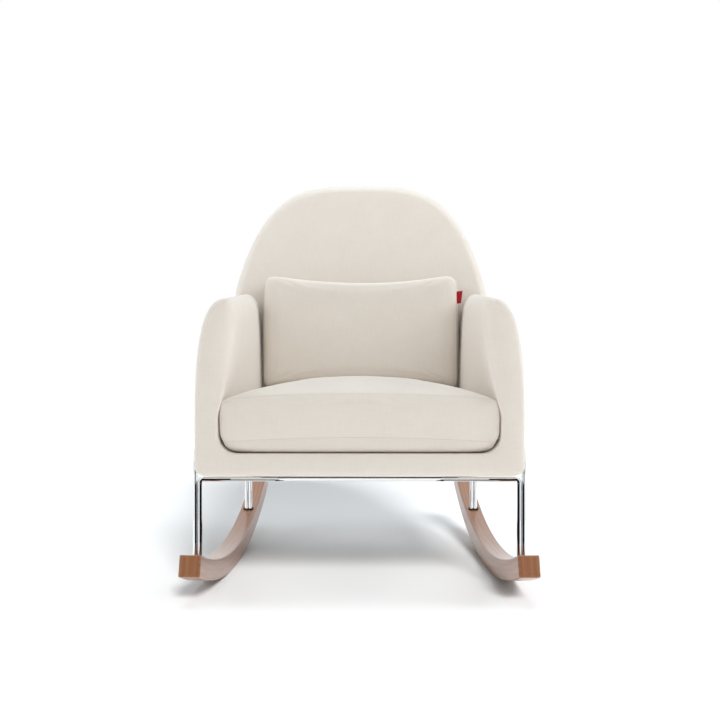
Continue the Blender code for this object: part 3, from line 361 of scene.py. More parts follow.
class ChairColours(bpy.types.PropertyGroup):
    """Colours that a user would change."""

    linen: FloatVectorProperty(
        name="Linen", description="Main colour of the cloth",
        default=(0.80, 0.738, 0.668), subtype="COLOR")
    linen_shade: FloatVectorProperty(
        name="Linen shade", description="Darker threads of the cloth",
        default=(0.72, 0.650, 0.573), subtype="COLOR")
    walnut: FloatVectorProperty(
        name="Walnut", description="Light bands of the rockers",
        default=(0.36, 0.160, 0.078), subtype="COLOR")
    walnut_dark: FloatVectorProperty(
        name="Dark walnut", description="Dark bands of the rockers",
        default=(0.19, 0.075, 0.036), subtype="COLOR")
    chrome: FloatVectorProperty(
        name="Chrome", description="Plating of the rods",
        default=(0.86, 0.87, 0.88), subtype="COLOR")
    steel: FloatVectorProperty(
        name="Zinc steel", description="Plates, clips and springs",
        default=(0.56, 0.57, 0.58), subtype="COLOR")
    dark_steel: FloatVectorProperty(
        name="Dark steel", description="Bolts and foot collars",
        default=(0.025, 0.025, 0.027), subtype="COLOR")
    beech: FloatVectorProperty(
        name="Beech", description="Timber of the seat frame",
        default=(0.56, 0.38, 0.22), subtype="COLOR")
    plywood: FloatVectorProperty(
        name="Plywood", description="Panels inside the arms and back",
        default=(0.60, 0.44, 0.27), subtype="COLOR")
    felt: FloatVectorProperty(
        name="Deck felt", description="Pad under the seat cushion",
        default=(0.58, 0.55, 0.50), subtype="COLOR")
    black_cloth: FloatVectorProperty(
        name="Dust cloth", description="Cloth under the seat",
        default=(0.02, 0.02, 0.022), subtype="COLOR")
    tab: FloatVectorProperty(
        name="Tab", description="Blank tab on the pillow",
        default=(0.44, 0.012, 0.02), subtype="COLOR")


def smoothstep(share):
    """Ease from 0 to 1: 3 t squared less 2 t cubed, with t held between 0 and 1."""
    share = np.clip(share, 0.0, 1.0)
    return share * share * (3.0 - 2.0 * share)


def join(*runs):
    """Chain point runs that share their end points."""
    return np.concatenate([run[:-1] for run in runs[:-1]] + [runs[-1]])


def closed(values, axis=0):
    """Values with the first of them repeated at the end."""
    return np.concatenate([values, np.take(values, [0], axis)], axis)


def mirrored(half):
    """Closed outline of a half outline, from middle to middle, and its mirror image."""
    return np.concatenate([half, half[-2:0:-1] * MIRROR])


def lengths(line):
    """Length from the start at each point of a polyline."""
    steps = np.linalg.norm(np.diff(line, axis=0), axis=-1)
    return np.concatenate([[0.0], np.cumsum(steps)])


def along(line, count):
    """Points evenly spaced by length along a polyline."""
    line = np.asarray(line, float)
    length = lengths(line)
    wanted = np.linspace(0.0, length[-1], count)
    return np.stack([np.interp(wanted, length, axis) for axis in line.T], -1)


def straight(first, last, count):
    """Evenly spaced points of a straight run."""
    first = np.asarray(first, float)
    return first + (np.asarray(last, float) - first) * np.linspace(0.0, 1.0, count)[:, None]


def arc(centre, radii, start, end, count):
    """Part of an ellipse, or of a circle where one radius is given."""
    turns = np.linspace(start, end, count)
    return np.asarray(centre) + np.asarray(radii) * np.stack([np.cos(turns), np.sin(turns)], -1)


def spread(first, second):
    """Grid of pairs from two sets of values that broadcast together."""
    return np.stack(np.broadcast_arrays(first, second), -1)


def smooth_curve(knots, count):
    """Catmull-Rom curve through knots: on each span a cubic whose end slopes are half the
    difference of the neighbouring knots."""
    knots = np.asarray(knots, float)
    padded = np.concatenate([2.0 * knots[:1] - knots[1:2], knots, 2.0 * knots[-1:] - knots[-2:-1]])
    position = np.linspace(0.0, len(knots) - 1.0, count)
    span = np.minimum(position.astype(int), len(knots) - 2)
    t = (position - span)[:, None]
    a, b, c, d = (padded[span + step] for step in range(4))
    slope_b = 0.5 * (c - a)
    slope_c = 0.5 * (d - b)
    return (b * (2 * t ** 3 - 3 * t ** 2 + 1) + slope_b * (t ** 3 - 2 * t ** 2 + t)
            + c * (3 * t ** 2 - 2 * t ** 3) + slope_c * (t ** 3 - t ** 2))


def distance_to_loop(points, loop):
    """Shortest distance from each point to a closed polyline, segment by segment."""
    step = np.roll(loop, -1, axis=0) - loop
    size = np.maximum((step ** 2).sum(-1), 1e-18)
    offset = points[:, None, :] - loop[None]
    share = np.clip((offset * step[None]).sum(-1) / size[None], 0.0, 1.0)
    gap = offset - share[..., None] * step[None]
    return np.sqrt((gap ** 2).sum(-1).min(1))


def ripple(points, size, seed):
    """Gentle unevenness: a sum of six sine waves of set directions, each about one size long."""
    rng = np.random.default_rng(seed)
    ways = rng.normal(size=(6, 3))
    ways /= np.linalg.norm(ways, axis=1)[:, None]
    ways *= 2.0 * np.pi / (size * rng.uniform(0.7, 1.8, 6))[:, None]
    return np.sin(points @ ways.T + rng.uniform(0.0, 6.3, 6)).sum(-1) / 6.0


def skin(name, rings, uv, marks=None):
    """Mesh of a grid of closed rings.  Rows or points that fall together are merged, so a ring
    of equal points closes an end as a pole and a folded ring closes it as a line."""
    rows, cols = rings.shape[:2]
    row = np.arange(rows - 1)[:, None] * cols
    here = np.arange(cols)[None]
    there = (here + 1) % cols
    corners = np.stack([row + here, row + there, row + cols + there, row + cols + here], -1)
    mesh = bpy.data.meshes.new(name)
    mesh.from_pydata(rings.reshape(-1, 3).tolist(), [], corners.reshape(-1, 4).tolist())
    layer = mesh.uv_layers.new(name="weave")
    flat = np.stack([uv[:-1, :-1], uv[:-1, 1:], uv[1:, 1:], uv[1:, :-1]], 2)
    layer.data.foreach_set("uv", flat.astype(np.float32).ravel())
    for label, values in (marks or {}).items():
        mark = mesh.attributes.new(label, "FLOAT", "POINT")
        mark.data.foreach_set("value", np.ascontiguousarray(values, np.float32).ravel())
    build = bmesh.new()
    build.from_mesh(mesh)
    bmesh.ops.remove_doubles(build, verts=build.verts, dist=MERGE_DISTANCE)
    bmesh.ops.dissolve_degenerate(build, edges=build.edges, dist=LEAST_EDGE)
    bmesh.ops.recalc_face_normals(build, faces=build.faces)
    build.to_mesh(mesh)
    build.free()
    return mesh


def piece_of(name, mesh, material, body, nodes, subdivide=0, sharp=None):
    """Object of a mesh, riding on a body and standing for CAD nodes."""
    mesh.polygons.foreach_set("use_smooth", np.ones(len(mesh.polygons), bool))
    if sharp:
        mesh.set_sharp_from_angle(angle=math.radians(sharp))
    piece = bpy.data.objects.new(name, mesh)
    bpy.context.scene.collection.objects.link(piece)
    mesh.materials.clear()
    mesh.materials.append(material)
    if subdivide:
        step = piece.modifiers.new("subdivide", "SUBSURF")
        step.levels = subdivide
        step.render_levels = subdivide
        step.use_limit_surface = False
    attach(piece, body)
    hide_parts(*nodes)
    return piece


def values_of(data, key, width):
    """Values of a mesh's data as an array with a row for each vertex."""
    values = np.zeros(len(data) * width, np.float32)
    data.foreach_get(key, values)
    return values.reshape(-1, width).astype(float)


def points_of(mesh):
    """Vertex places of a mesh."""
    return values_of(mesh.vertices, "co", 3)


def marks_of(mesh, label):
    """Values of one vertex mark."""
    return values_of(mesh.attributes[label].data, "value", 1)[:, 0]


def move_points(mesh, places):
    """Put the vertices at new places."""
    mesh.vertices.foreach_set("co", np.ascontiguousarray(places, np.float32).ravel())
    mesh.update()


def push(mesh, distance):
    """Move each vertex along its normal."""
    normals = values_of(mesh.vertex_normals, "vector", 3)
    move_points(mesh, points_of(mesh) + normals * distance[:, None])


def seam_mark(gap):
    """Mark that a seam leaves: it climbs from 0 to 1 over the reach of a seam and is a half on it.
    The marks of two seams in a row can be added."""
    return np.clip(0.5 + gap / SEAM_REACH, 0.0, 1.0)


def seam_gap(mesh):
    """Distance of each vertex from the seam nearest to it."""
    mark = marks_of(mesh, "seam")
    return np.abs(mark - np.floor(mark) - 0.5) * SEAM_REACH


def sew(mesh, depth):
    """Press the marked seams into a mesh: grooves whose depth falls off as a bell curve."""
    push(mesh, -depth * np.exp(-(seam_gap(mesh) / GROOVE_WIDTH) ** 2))


def swell(mesh, held, cap):
    """Blow a closed cover up as cloth with an inner pressure and no weight.  Held points stay,
    and no other point goes further than the cap from where it began."""
    scene = bpy.context.scene
    form = bpy.data.objects.new("cover_form", mesh.copy())
    scene.collection.objects.link(form)
    group = form.vertex_groups.new(name="held")
    for weight in np.unique(np.round(held[held > 0.01], 1)):
        members = np.nonzero(np.round(held, 1) == weight)[0]
        group.add(members.tolist(), float(weight), "REPLACE")
    cloth = form.modifiers.new("cloth", "CLOTH")
    for key, value in CLOTH.items():
        setattr(cloth.settings, key, value)
    cloth.settings.effector_weights.gravity = 0.0
    cloth.point_cache.frame_start = 1
    cloth.point_cache.frame_end = CLOTH_FRAMES
    for step in range(1, CLOTH_FRAMES + 1):
        scene.frame_set(step)
    graph = bpy.context.evaluated_depsgraph_get()
    start = points_of(mesh)
    move = points_of(form.evaluated_get(graph).data) - start
    size = np.linalg.norm(move, axis=1)
    share = cap * np.tanh(size / cap) / np.maximum(size, 1e-9)
    move_points(mesh, start + move * share[:, None])
    spare = form.data
    bpy.data.objects.remove(form)
    bpy.data.meshes.remove(spare)
    scene.frame_set(1)


def feed(tree, node, inputs):
    """Link or set a node's inputs by name or number."""
    for key, value in inputs.items():
        if isinstance(value, bpy.types.NodeSocket):
            tree.links.new(value, node.inputs[key])
        else:
            node.inputs[key].default_value = value


def add(tree, kind, inputs=None, **settings):
    """Add a node, set its properties and feed its inputs."""
    node = tree.nodes.new(kind)
    for key, value in settings.items():
        setattr(node, key, value)
    feed(tree, node, inputs or {})
    return node


def calc(tree, operation, first, second=0.0, third=0.0):
    """Output of a Math node."""
    values = {0: first, 1: second, 2: third}
    return add(tree, "ShaderNodeMath", values, operation=operation).outputs[0]


def ramp(tree, value, low, high):
    """Smooth ramp of a value between two limits, from 0 to 1."""
    values = {"Value": value, "From Min": low, "From Max": high}
    return add(tree, "ShaderNodeMapRange", values, interpolation_type="SMOOTHSTEP").outputs["Result"]


def mix_colour(tree, share, first, second):
    """Colour between two others."""
    return add(tree, "ShaderNodeMix", {0: share, 6: first, 7: second}, data_type="RGBA").outputs[2]


def noise(tree, vector, scale, detail=2.0):
    """Value of a noise texture."""
    values = {"Vector": vector, "Scale": scale, "Detail": detail, "Roughness": 0.5}
    return add(tree, "ShaderNodeTexNoise", values).outputs[0]


def stretched(tree, vector, scale):
    """Vector scaled by a different amount along each axis."""
    return add(tree, "ShaderNodeVectorMath", {0: vector, 1: scale}, operation="MULTIPLY").outputs[0]


def swayed(tree, tone, value, middle, weight):
    """Tone plus a weight times how far a value lies from its middle."""
    return calc(tree, "MULTIPLY_ADD", calc(tree, "SUBTRACT", value, middle), weight, tone)


def new_group(name, inputs, outputs):
    """Empty shader group with named sockets: its tree, the sockets given to it and its end node."""
    tree = bpy.data.node_groups.new(name, "ShaderNodeTree")
    for label, kind in inputs.items():
        tree.interface.new_socket(label, in_out="INPUT", socket_type=kind)
    for label, kind in outputs.items():
        tree.interface.new_socket(label, in_out="OUTPUT", socket_type=kind)
    return tree, tree.nodes.new("NodeGroupInput").outputs, tree.nodes.new("NodeGroupOutput")


def weave_group():
    """Plain weave: crossing threads, thick and thin places in them, and a soft mottle."""
    if "Woven cloth" in bpy.data.node_groups:
        return bpy.data.node_groups["Woven cloth"]
    inputs = {"Vector": VECTOR, "Thread": FLOAT, "Main": COLOUR, "Shade": COLOUR, "Slub": FLOAT}
    tree, given, result = new_group("Woven cloth", inputs, {"Colour": COLOUR, "Height": FLOAT})
    vector = given["Vector"]
    axes = add(tree, "ShaderNodeSeparateXYZ", {0: vector}).outputs
    across = calc(tree, "DIVIDE", axes[0], given["Thread"])
    up = calc(tree, "DIVIDE", axes[1], given["Thread"])
    warp = calc(tree, "ABSOLUTE", calc(tree, "SINE", calc(tree, "MULTIPLY", across, math.pi)))
    weft = calc(tree, "ABSOLUTE", calc(tree, "SINE", calc(tree, "MULTIPLY", up, math.pi)))
    cells = calc(tree, "ADD", calc(tree, "FLOOR", across), calc(tree, "FLOOR", up))
    over = calc(tree, "FLOORED_MODULO", cells, 2.0)
    under = calc(tree, "SUBTRACT", 1.0, over)
    thread = calc(tree, "ADD", calc(tree, "MULTIPLY", warp, over), calc(tree, "MULTIPLY", weft, under))
    slub_up = noise(tree, stretched(tree, vector, (700.0, 28.0, 1.0)), 1.0)
    slub_across = noise(tree, stretched(tree, vector, (28.0, 700.0, 1.0)), 1.0)
    slub = calc(tree, "MULTIPLY_ADD", slub_up, 0.5, calc(tree, "MULTIPLY", slub_across, 0.5))
    tone = swayed(tree, 0.62, slub, 0.5, given["Slub"])
    tone = swayed(tree, tone, noise(tree, vector, 16.0, 3.0), 0.5, 0.55)
    tone = swayed(tree, tone, thread, 0.6, 0.45)
    tone = add(tree, "ShaderNodeClamp", {"Value": tone}).outputs[0]
    colour = mix_colour(tree, tone, given["Shade"], given["Main"])
    feed(tree, result, {"Colour": colour, "Height": calc(tree, "MULTIPLY_ADD", slub, 0.8, thread)})
    return tree


def seam_group():
    """Sewn seams: 1 along the lines where the mark passes a half, falling off to both sides."""
    if "Sewn seam" in bpy.data.node_groups:
        return bpy.data.node_groups["Sewn seam"]
    tree, given, result = new_group("Sewn seam", {"Mark": FLOAT}, {"Mask": FLOAT})
    part = calc(tree, "FRACT", given["Mark"])
    gap = calc(tree, "ABSOLUTE", calc(tree, "SUBTRACT", part, 0.5))
    away = ramp(tree, gap, 0.0, SEAM_HALF_WIDTH / SEAM_REACH)
    feed(tree, result, {"Mask": calc(tree, "SUBTRACT", 1.0, away)})
    return tree


def grain_group():
    """Wood along the first axis: wavering bands, fine streaks and short dark pores."""
    if "Wood grain" in bpy.data.node_groups:
        return bpy.data.node_groups["Wood grain"]
    inputs = {"Vector": VECTOR, "Light": COLOUR, "Dark": COLOUR}
    outputs = {"Colour": COLOUR, "Height": FLOAT, "Roughness": FLOAT}
    tree, given, result = new_group("Wood grain", inputs, outputs)
    vector = given["Vector"]
    bend = noise(tree, stretched(tree, vector, (3.0, 26.0, 26.0)), 1.0, 3.0)
    axes = add(tree, "ShaderNodeSeparateXYZ", {0: vector}).outputs
    side = calc(tree, "ADD", axes[1], calc(tree, "MULTIPLY", axes[2], 0.8))
    phase = calc(tree, "MULTIPLY_ADD", side, 520.0, calc(tree, "MULTIPLY", bend, 17.0))
    band = calc(tree, "MULTIPLY_ADD", calc(tree, "SINE", phase), 0.5, 0.5)
    streak = noise(tree, stretched(tree, vector, (9.0, 420.0, 420.0)), 1.0, 3.0)
    pore = noise(tree, stretched(tree, vector, (60.0, 1900.0, 1900.0)), 1.0, 1.0)
    pit = ramp(tree, pore, 0.62, 0.72)
    tone = swayed(tree, calc(tree, "MULTIPLY", band, 0.3), streak, 0.5, 0.7)
    tone = swayed(tree, tone, bend, 0.5, 0.7)
    tone = calc(tree, "MULTIPLY_ADD", pit, 0.35, tone)
    tone = add(tree, "ShaderNodeClamp", {"Value": tone}).outputs[0]
    colour = mix_colour(tree, tone, given["Light"], given["Dark"])
    height = calc(tree, "SUBTRACT", calc(tree, "MULTIPLY", streak, 0.25), pit)
    rough = calc(tree, "MULTIPLY_ADD", streak, 0.14, 0.24)
    feed(tree, result, {"Colour": colour, "Height": height, "Roughness": rough})
    return tree


def handling_group():
    """Faint handling marks on metal: cloudy roughness with fine scratches."""
    if "Handling marks" in bpy.data.node_groups:
        return bpy.data.node_groups["Handling marks"]
    inputs = {"Vector": VECTOR, "Smooth": FLOAT, "Spread": FLOAT}
    tree, given, result = new_group("Handling marks", inputs, {"Roughness": FLOAT, "Height": FLOAT})
    cloud = noise(tree, given["Vector"], 22.0, 4.0)
    scratch = noise(tree, stretched(tree, given["Vector"], (900.0, 900.0, 40.0)), 1.0)
    rough = calc(tree, "ADD", given["Smooth"], calc(tree, "MULTIPLY", cloud, given["Spread"]))
    feed(tree, result, {"Roughness": rough, "Height": scratch})
    return tree


def darker(colour, share):
    """Colour brought down to a share of itself."""
    return tuple(share * value for value in colour)


def new_material(name):
    """Empty node material with its tree and its shader."""
    material = bpy.data.materials.new(name)
    material.use_nodes = True
    tree = material.node_tree
    return material, tree, tree.nodes["Principled BSDF"]


def bump(tree, height, strength, distance):
    """Normal bumped by a height."""
    values = {"Height": height, "Strength": strength, "Distance": distance}
    return add(tree, "ShaderNodeBump", values).outputs[0]


def cloth_material(name, base, shade, thread, slub=1.5):
    """Woven cloth that follows the piece's own UV map, measured in metres, with painted shade darkening
    its seams.
    """
    if name in bpy.data.materials:
        return bpy.data.materials[name]
    material, tree, shader = new_material(name)
    uv = add(tree, "ShaderNodeUVMap", uv_map="weave").outputs[0]
    values = {"Vector": uv, "Thread": thread, "Main": (*base, 1.0), "Shade": (*shade, 1.0), "Slub": slub}
    woven = add(tree, "ShaderNodeGroup", values, node_tree=weave_group()).outputs
    mark = add(tree, "ShaderNodeAttribute", attribute_name="seam").outputs["Fac"]
    seam = add(tree, "ShaderNodeGroup", {"Mark": mark}, node_tree=seam_group()).outputs["Mask"]
    # Painted shade along the seams: the base colour darkens where the seam mask is high, on top of the
    # bumped groove
    painted_seam_shade = (*darker(shade, SEAM_PAINTED_SHADE), 1.0)
    painted_shade_share = calc(tree, "MULTIPLY", seam, SEAM_PAINTED_SHADE_SHARE)
    height = calc(tree, "MULTIPLY_ADD", seam, SEAM_SINK, woven["Height"])
    feed(tree, shader, {
        "Base Color": mix_colour(tree, painted_shade_share, woven["Colour"], painted_seam_shade),
        "Roughness": 0.9,
        "Specular IOR Level": 0.25,
        "Sheen Weight": 0.30,
        "Sheen Roughness": 0.45,
        "Normal": bump(tree, height, strength=0.35, distance=0.0004),
    })
    return material


def wood_material(name, light, dark, coat, uv_name=None, axes=(1.0, 1.0, 1.0)):
    """Wood with grain along the UV map's first axis, or along an object axis."""
    if name in bpy.data.materials:
        return bpy.data.materials[name]
    material, tree, shader = new_material(name)
    if uv_name:
        source = add(tree, "ShaderNodeUVMap", uv_map=uv_name).outputs[0]
    else:
        source = stretched(tree, add(tree, "ShaderNodeTexCoord").outputs["Object"], axes)
    values = {"Vector": source, "Light": (*light, 1.0), "Dark": (*dark, 1.0)}
    grain = add(tree, "ShaderNodeGroup", values, node_tree=grain_group()).outputs
    feed(tree, shader, {
        "Base Color": grain["Colour"],
        "Roughness": grain["Roughness"],
        "Coat Weight": coat,
        "Coat Roughness": 0.18,
        "Specular IOR Level": 0.25,
        "Normal": bump(tree, grain["Height"], strength=0.2, distance=0.0003),
    })
    return material


def metal_material(name, colour, smooth, cloudy, metallic, relief):
    """Metal with faint handling marks, on object coordinates."""
    if name in bpy.data.materials:
        return bpy.data.materials[name]
    material, tree, shader = new_material(name)
    source = add(tree, "ShaderNodeTexCoord").outputs["Object"]
    values = {"Vector": source, "Smooth": smooth, "Spread": cloudy}
    marks = add(tree, "ShaderNodeGroup", values, node_tree=handling_group()).outputs
    feed(tree, shader, {
        "Base Color": (*colour, 1.0),
        "Metallic": metallic,
        "Roughness": marks["Roughness"],
    })
    if relief:
        feed(tree, shader, {"Normal": bump(tree, marks["Height"], relief, distance=0.0001)})
    return material


def linen(context):
    """The cream linen of every cover."""
    colours = context.scene.chair_colours
    thread = context.scene.chair_sizes.thread
    return cloth_material("cream_linen", colours.linen, colours.linen_shade, thread)


def dark_steel(context):
    """Dark finish of the bolts and collars."""
    colour = context.scene.chair_colours.dark_steel
    return metal_material("dark_steel_finish", colour, smooth=0.32, cloudy=0.2, metallic=0.6, relief=0.1)


def place(side, u, v, z):
    """Rocker coordinates, u outwards and v to the rear, turned by the toe-in into the chair."""
    x = ROCKER_HALF_TRACK + u * math.cos(TOE_IN) - v * math.sin(TOE_IN)
    y = u * math.sin(TOE_IN) + v * math.cos(TOE_IN)
    return np.stack(np.broadcast_arrays(side * x, y, z), -1)


def rocker_z(v, depth):
    """Height of the rocker at v, depth measured up from its underside."""
    radius = ROCKER_RADIUS - depth
    return ARC_CENTRE_Z - math.sqrt(radius ** 2 - (v - CONTACT_V) ** 2)


def rocker_section(edge, inset):
    """Rounded rectangle across the rocker as (u, depth): four straight sides and four quarter
    circles, all drawn in by the inset."""
    half = 0.5 * ROCKER_WIDTH - inset
    high = ROCKER_DEPTH - inset
    edge = max(edge - inset, ROCKER_LEAST_EDGE)
    turns = np.linspace(0.0, QUARTER_TURN, 9)
    centres = [(half - edge, inset + edge), (half - edge, high - edge)]
    centres += [(-half + edge, high - edge), (-half + edge, inset + edge)]
    bends = []
    for corner, (u, depth) in enumerate(centres):
        angle = turns + (corner - 1) * QUARTER_TURN
        bends.append(np.stack([u + edge * np.cos(angle), depth + edge * np.sin(angle)], -1))
    runs = []
    for bend, following in zip(bends, bends[1:] + bends[:1]):
        runs += [bend, straight(bend[-1], following[0], 7)[1:-1]]
    return np.concatenate(runs)


def rocker_mesh(side, edge, end):
    """Rocker: the rounded section carried along a circle arc, with rounded end faces.  A point at
    angle a and depth d lies at v = contact + (R - d) sin a and z = centre - (R - d) cos a, and the
    underside is flat where it stands on the floor."""
    limits = [math.asin((sign * ROCKER_HALF_LENGTH - CONTACT_V) / ROCKER_RADIUS) for sign in (-1.0, 1.0)]
    turns = np.linspace(QUARTER_TURN, 0.0, 6)
    lead = end * (1.0 - np.sin(turns)) / ROCKER_RADIUS
    draw = end * (1.0 - np.cos(turns))
    body = np.linspace(limits[0] + lead[-1], limits[1] - lead[-1], 150)[1:-1]
    angles = np.concatenate([limits[0] + lead, body, (limits[1] - lead)[::-1]])
    insets = np.concatenate([draw, np.zeros(len(body)), draw[::-1]])
    flat = np.stack([rocker_section(edge, inset) for inset in insets])
    shares = np.array([1.0, 0.8, 0.5, 0.2, 0.0])
    rows = len(shares)
    caps = []
    for ring in (flat[0], flat[-1]):
        middle = ring.mean(0)
        caps.append(middle + (ring - middle)[None] * shares[:, None, None])
    section = np.concatenate([caps[0][::-1], flat, caps[1]])
    angles = np.concatenate([np.full(rows, angles[0]), angles, np.full(rows, angles[-1])])
    radius = ROCKER_RADIUS - section[..., 1]
    v = CONTACT_V + radius * np.sin(angles)[:, None]
    z = np.maximum(ARC_CENTRE_Z - radius * np.cos(angles)[:, None], 0.0)
    rings = place(side, section[..., 0], v, z)
    girth = lengths(closed(section[len(section) // 2]))
    uv = spread((ROCKER_RADIUS * angles)[:, None], girth[None])
    wrap = closed(section, 1)
    for end_rows in (slice(0, rows), slice(-rows, None)):
        uv[end_rows, :, 0] = END_GRAIN_SQUEEZE * wrap[end_rows, :, 1] + END_GRAIN_SHIFT
        uv[end_rows, :, 1] = wrap[end_rows, :, 0]
    return skin("rocker", rings, uv)


def pocket_cutter(centre, low, high):
    """Short closed cylinder that cuts a nut pocket."""
    circle = arc((0.0, 0.0), 1.0, 0.0, FULL_TURN, NUT_POCKET_SIDES + 1)[:-1]
    levels = [(0.0, low), (NUT_POCKET_RADIUS, low), (NUT_POCKET_RADIUS, high), (0.0, high)]
    rings = [np.column_stack([centre[:2] + size * circle, np.full(len(circle), z)]) for size, z in levels]
    mesh = skin("pocket", np.stack(rings), np.zeros((len(levels), len(circle) + 1, 2)))
    cutter = bpy.data.objects.new("pocket", mesh)
    bpy.context.scene.collection.objects.link(cutter)
    return cutter


def cut_pockets(mesh, cutters):
    """Take cutters out of a mesh with exact booleans and give back the result."""
    body = bpy.data.objects.new("pocket_body", mesh)
    bpy.context.scene.collection.objects.link(body)
    for cutter in cutters:
        step = body.modifiers.new("pocket", "BOOLEAN")
        step.operation = "DIFFERENCE"
        step.solver = "EXACT"
        step.object = cutter
    bpy.context.view_layer.update()
    graph = bpy.context.evaluated_depsgraph_get()
    result = bpy.data.meshes.new_from_object(body.evaluated_get(graph))
    for spare in [body, *cutters]:
        bpy.data.objects.remove(spare)
    return result


def tube(name, path, radius, sides, normal):
    """Round rod: a circle carried along a flat path.  Each ring is the path point plus the radius
    times cos t along the plane's normal and sin t along the normal crossed with the path."""
    radius = np.broadcast_to(radius, len(path)).astype(float)
    across = np.cross(normal, np.gradient(path, axis=0))
    across /= np.linalg.norm(across, axis=1)[:, None]
    turns = np.linspace(0.0, FULL_TURN, sides + 1)[:-1]
    ring = np.cos(turns)[None, :, None] * normal[None, None]
    ring = ring + np.sin(turns)[None, :, None] * across[:, None]
    rings = path[:, None] + radius[:, None, None] * ring
    ends = [np.repeat(point[None, None], sides, 1) for point in (path[0], path[-1])]
    rings = np.concatenate([ends[0], rings, ends[1]])
    length = np.concatenate([[0.0], lengths(path), [0.0]])
    girth = np.linspace(0.0, FULL_TURN * radius.max(), sides + 1)
    return skin(name, rings, spread(length[:, None], girth[None]))


def side_loop_path(side):
    """Outer rod: up the front leg, back along the seat and down the rear leg."""
    feet = [(v, rocker_z(v, ROCKER_DEPTH) - SOCKET_DEPTH) for v in (FRONT_LEG_V, REAR_LEG_V)]
    bend_z = LOOP_TOP_Z - LOOP_BEND
    front = arc((FRONT_LEG_V + LOOP_BEND, bend_z), LOOP_BEND, math.pi, QUARTER_TURN, 30)
    rear = arc((REAR_LEG_V - LOOP_BEND, bend_z), LOOP_BEND, QUARTER_TURN, 0.0, 30)
    line = join(straight(feet[0], front[0], 12), front, straight(front[-1], rear[0], 12),
                rear, straight(rear[-1], feet[1], 12))
    return place(side, np.full(len(line), ROD_OFFSET), line[:, 0], line[:, 1])


def cross_loop_path(v, rod_radius):
    """Inner rod: up one leg, across under the seat and down the other, a stud at each foot.
    Gives the path and its radius at each point."""
    corner = place(1.0, -ROD_OFFSET, v, 0.0)
    half = corner[0]
    foot = rocker_z(v, ROCKER_DEPTH) - SOCKET_DEPTH
    tail = rocker_z(v, 0.0) + STUD_END
    bend = arc((half - RAIL_BEND, RAIL_Z - RAIL_BEND), RAIL_BEND, 0.0, QUARTER_TURN, 16)
    leg = straight((half, foot + STUD_STEP), bend[0], 12)
    line = np.concatenate([[[half, tail], [half, foot]], join(leg, bend)])
    radius = np.concatenate([[STUD_RADIUS, STUD_RADIUS], np.full(len(line) - 2, rod_radius)])
    middle = straight(line[-1], line[-1] * MIRROR, 30)[1:-1]
    whole = np.concatenate([line, middle, line[::-1] * MIRROR])
    size = np.concatenate([radius, np.full(len(middle), rod_radius), radius[::-1]])
    return np.stack([whole[:, 0], np.full(len(whole), corner[1]), whole[:, 1]], -1), size


def collar_mesh(side, v):
    """Foot collar: a small superellipse carried round the slot-shaped outline of a rod pair, on
    the slope of the rocker."""
    angle = math.asin((v - CONTACT_V) / (ROCKER_RADIUS - ROCKER_DEPTH))
    top = rocker_z(v, ROCKER_DEPTH)
    cap = arc((0.0, 0.0), 1.0, -QUARTER_TURN, QUARTER_TURN, 17)
    centres = np.concatenate([cap * 0.0 + (ROD_OFFSET, 0.0), cap * 0.0 - (ROD_OFFSET, 0.0)])
    out = np.concatenate([cap, -cap])
    oval = arc((0.0, 0.0), 1.0, 0.0, FULL_TURN, 21)[:-1]
    oval = np.sign(oval) * np.abs(oval) ** COLLAR_POWER
    wide = COLLAR_REACH + COLLAR_HALF_WIDTH * oval[:, 0]
    rise = COLLAR_MIDDLE + COLLAR_HALF_HEIGHT * oval[:, 1]
    flat = centres[:, None] + out[:, None] * wide[None, :, None]
    along_v = v + flat[..., 1] * math.cos(angle) - rise[None] * math.sin(angle)
    z = top + flat[..., 1] * math.sin(angle) + rise[None] * math.cos(angle)
    rings = closed(place(side, flat[..., 0], along_v, z))
    return skin("collar", rings, np.zeros((len(rings), rings.shape[1] + 1, 2)))


def back_plane(z):
    """Depth of the leaning plane between the inside and the outside back."""
    return BACK_PLANE_Y + math.tan(BACK_ANGLE) * (z - BACK_PLANE_Z)


def arch(z):
    """Half width of the rounded arch: A times the 3.5th root of 1 - t to the power 1.9."""
    share = np.clip((z - ARCH_BASE_Z) / (BACK_TOP_Z - ARCH_BASE_Z), 0.0, 1.0)
    return ARCH_HALF_WIDTH * (1.0 - share ** ARCH_POWER) ** (1.0 / ARCH_ROOT)


def back_half_width(z):
    """Half width of the back: the arch above, and below it a cubic that leaves the arch with the
    same slope and comes upright at the waist."""
    z = np.asarray(z, float)
    step = 0.0005
    start = arch(ARCH_START_Z)
    slope = (arch(ARCH_START_Z + step) - arch(ARCH_START_Z - step)) / (2.0 * step)
    rise = ARCH_START_Z - WAIST_Z
    t = np.clip((z - WAIST_Z) / rise, 0.0, 1.0)
    low = WAIST_HALF_WIDTH * (2 * t ** 3 - 3 * t ** 2 + 1) + start * (3 * t ** 2 - 2 * t ** 3)
    low = low + slope * rise * (t ** 3 - t ** 2)
    return np.where(z >= ARCH_START_Z, arch(z), low)


def arm_front_outside(z):
    """Half width outside the arm's front: it falls from its widest as the 2.7th root of 1 - t to
    the power 3.2."""
    share = np.clip((z - ARM_SIDE_Z) / (ARM_FRONT_TOP[1] - ARM_SIDE_Z), 0.0, 1.0)
    rounding = (1.0 - share ** ARM_FRONT_POWER) ** (1.0 / ARM_FRONT_ROOT)
    return ARM_FRONT_TOP[0] + (ARM_FRONT_WIDEST - ARM_FRONT_TOP[0]) * rounding


def arm_rear_outside(z):
    """Half width outside the arm's rear end: that of the back, closed above by a quarter ellipse."""
    share = np.clip((z - ARM_REAR_SHOULDER_Z) / (ARM_REAR_TOP[1] - ARM_REAR_SHOULDER_Z), 0.0, 1.0)
    return ARM_REAR_TOP[0] + (back_half_width(z) - ARM_REAR_TOP[0]) * np.sqrt(1.0 - share ** 2)


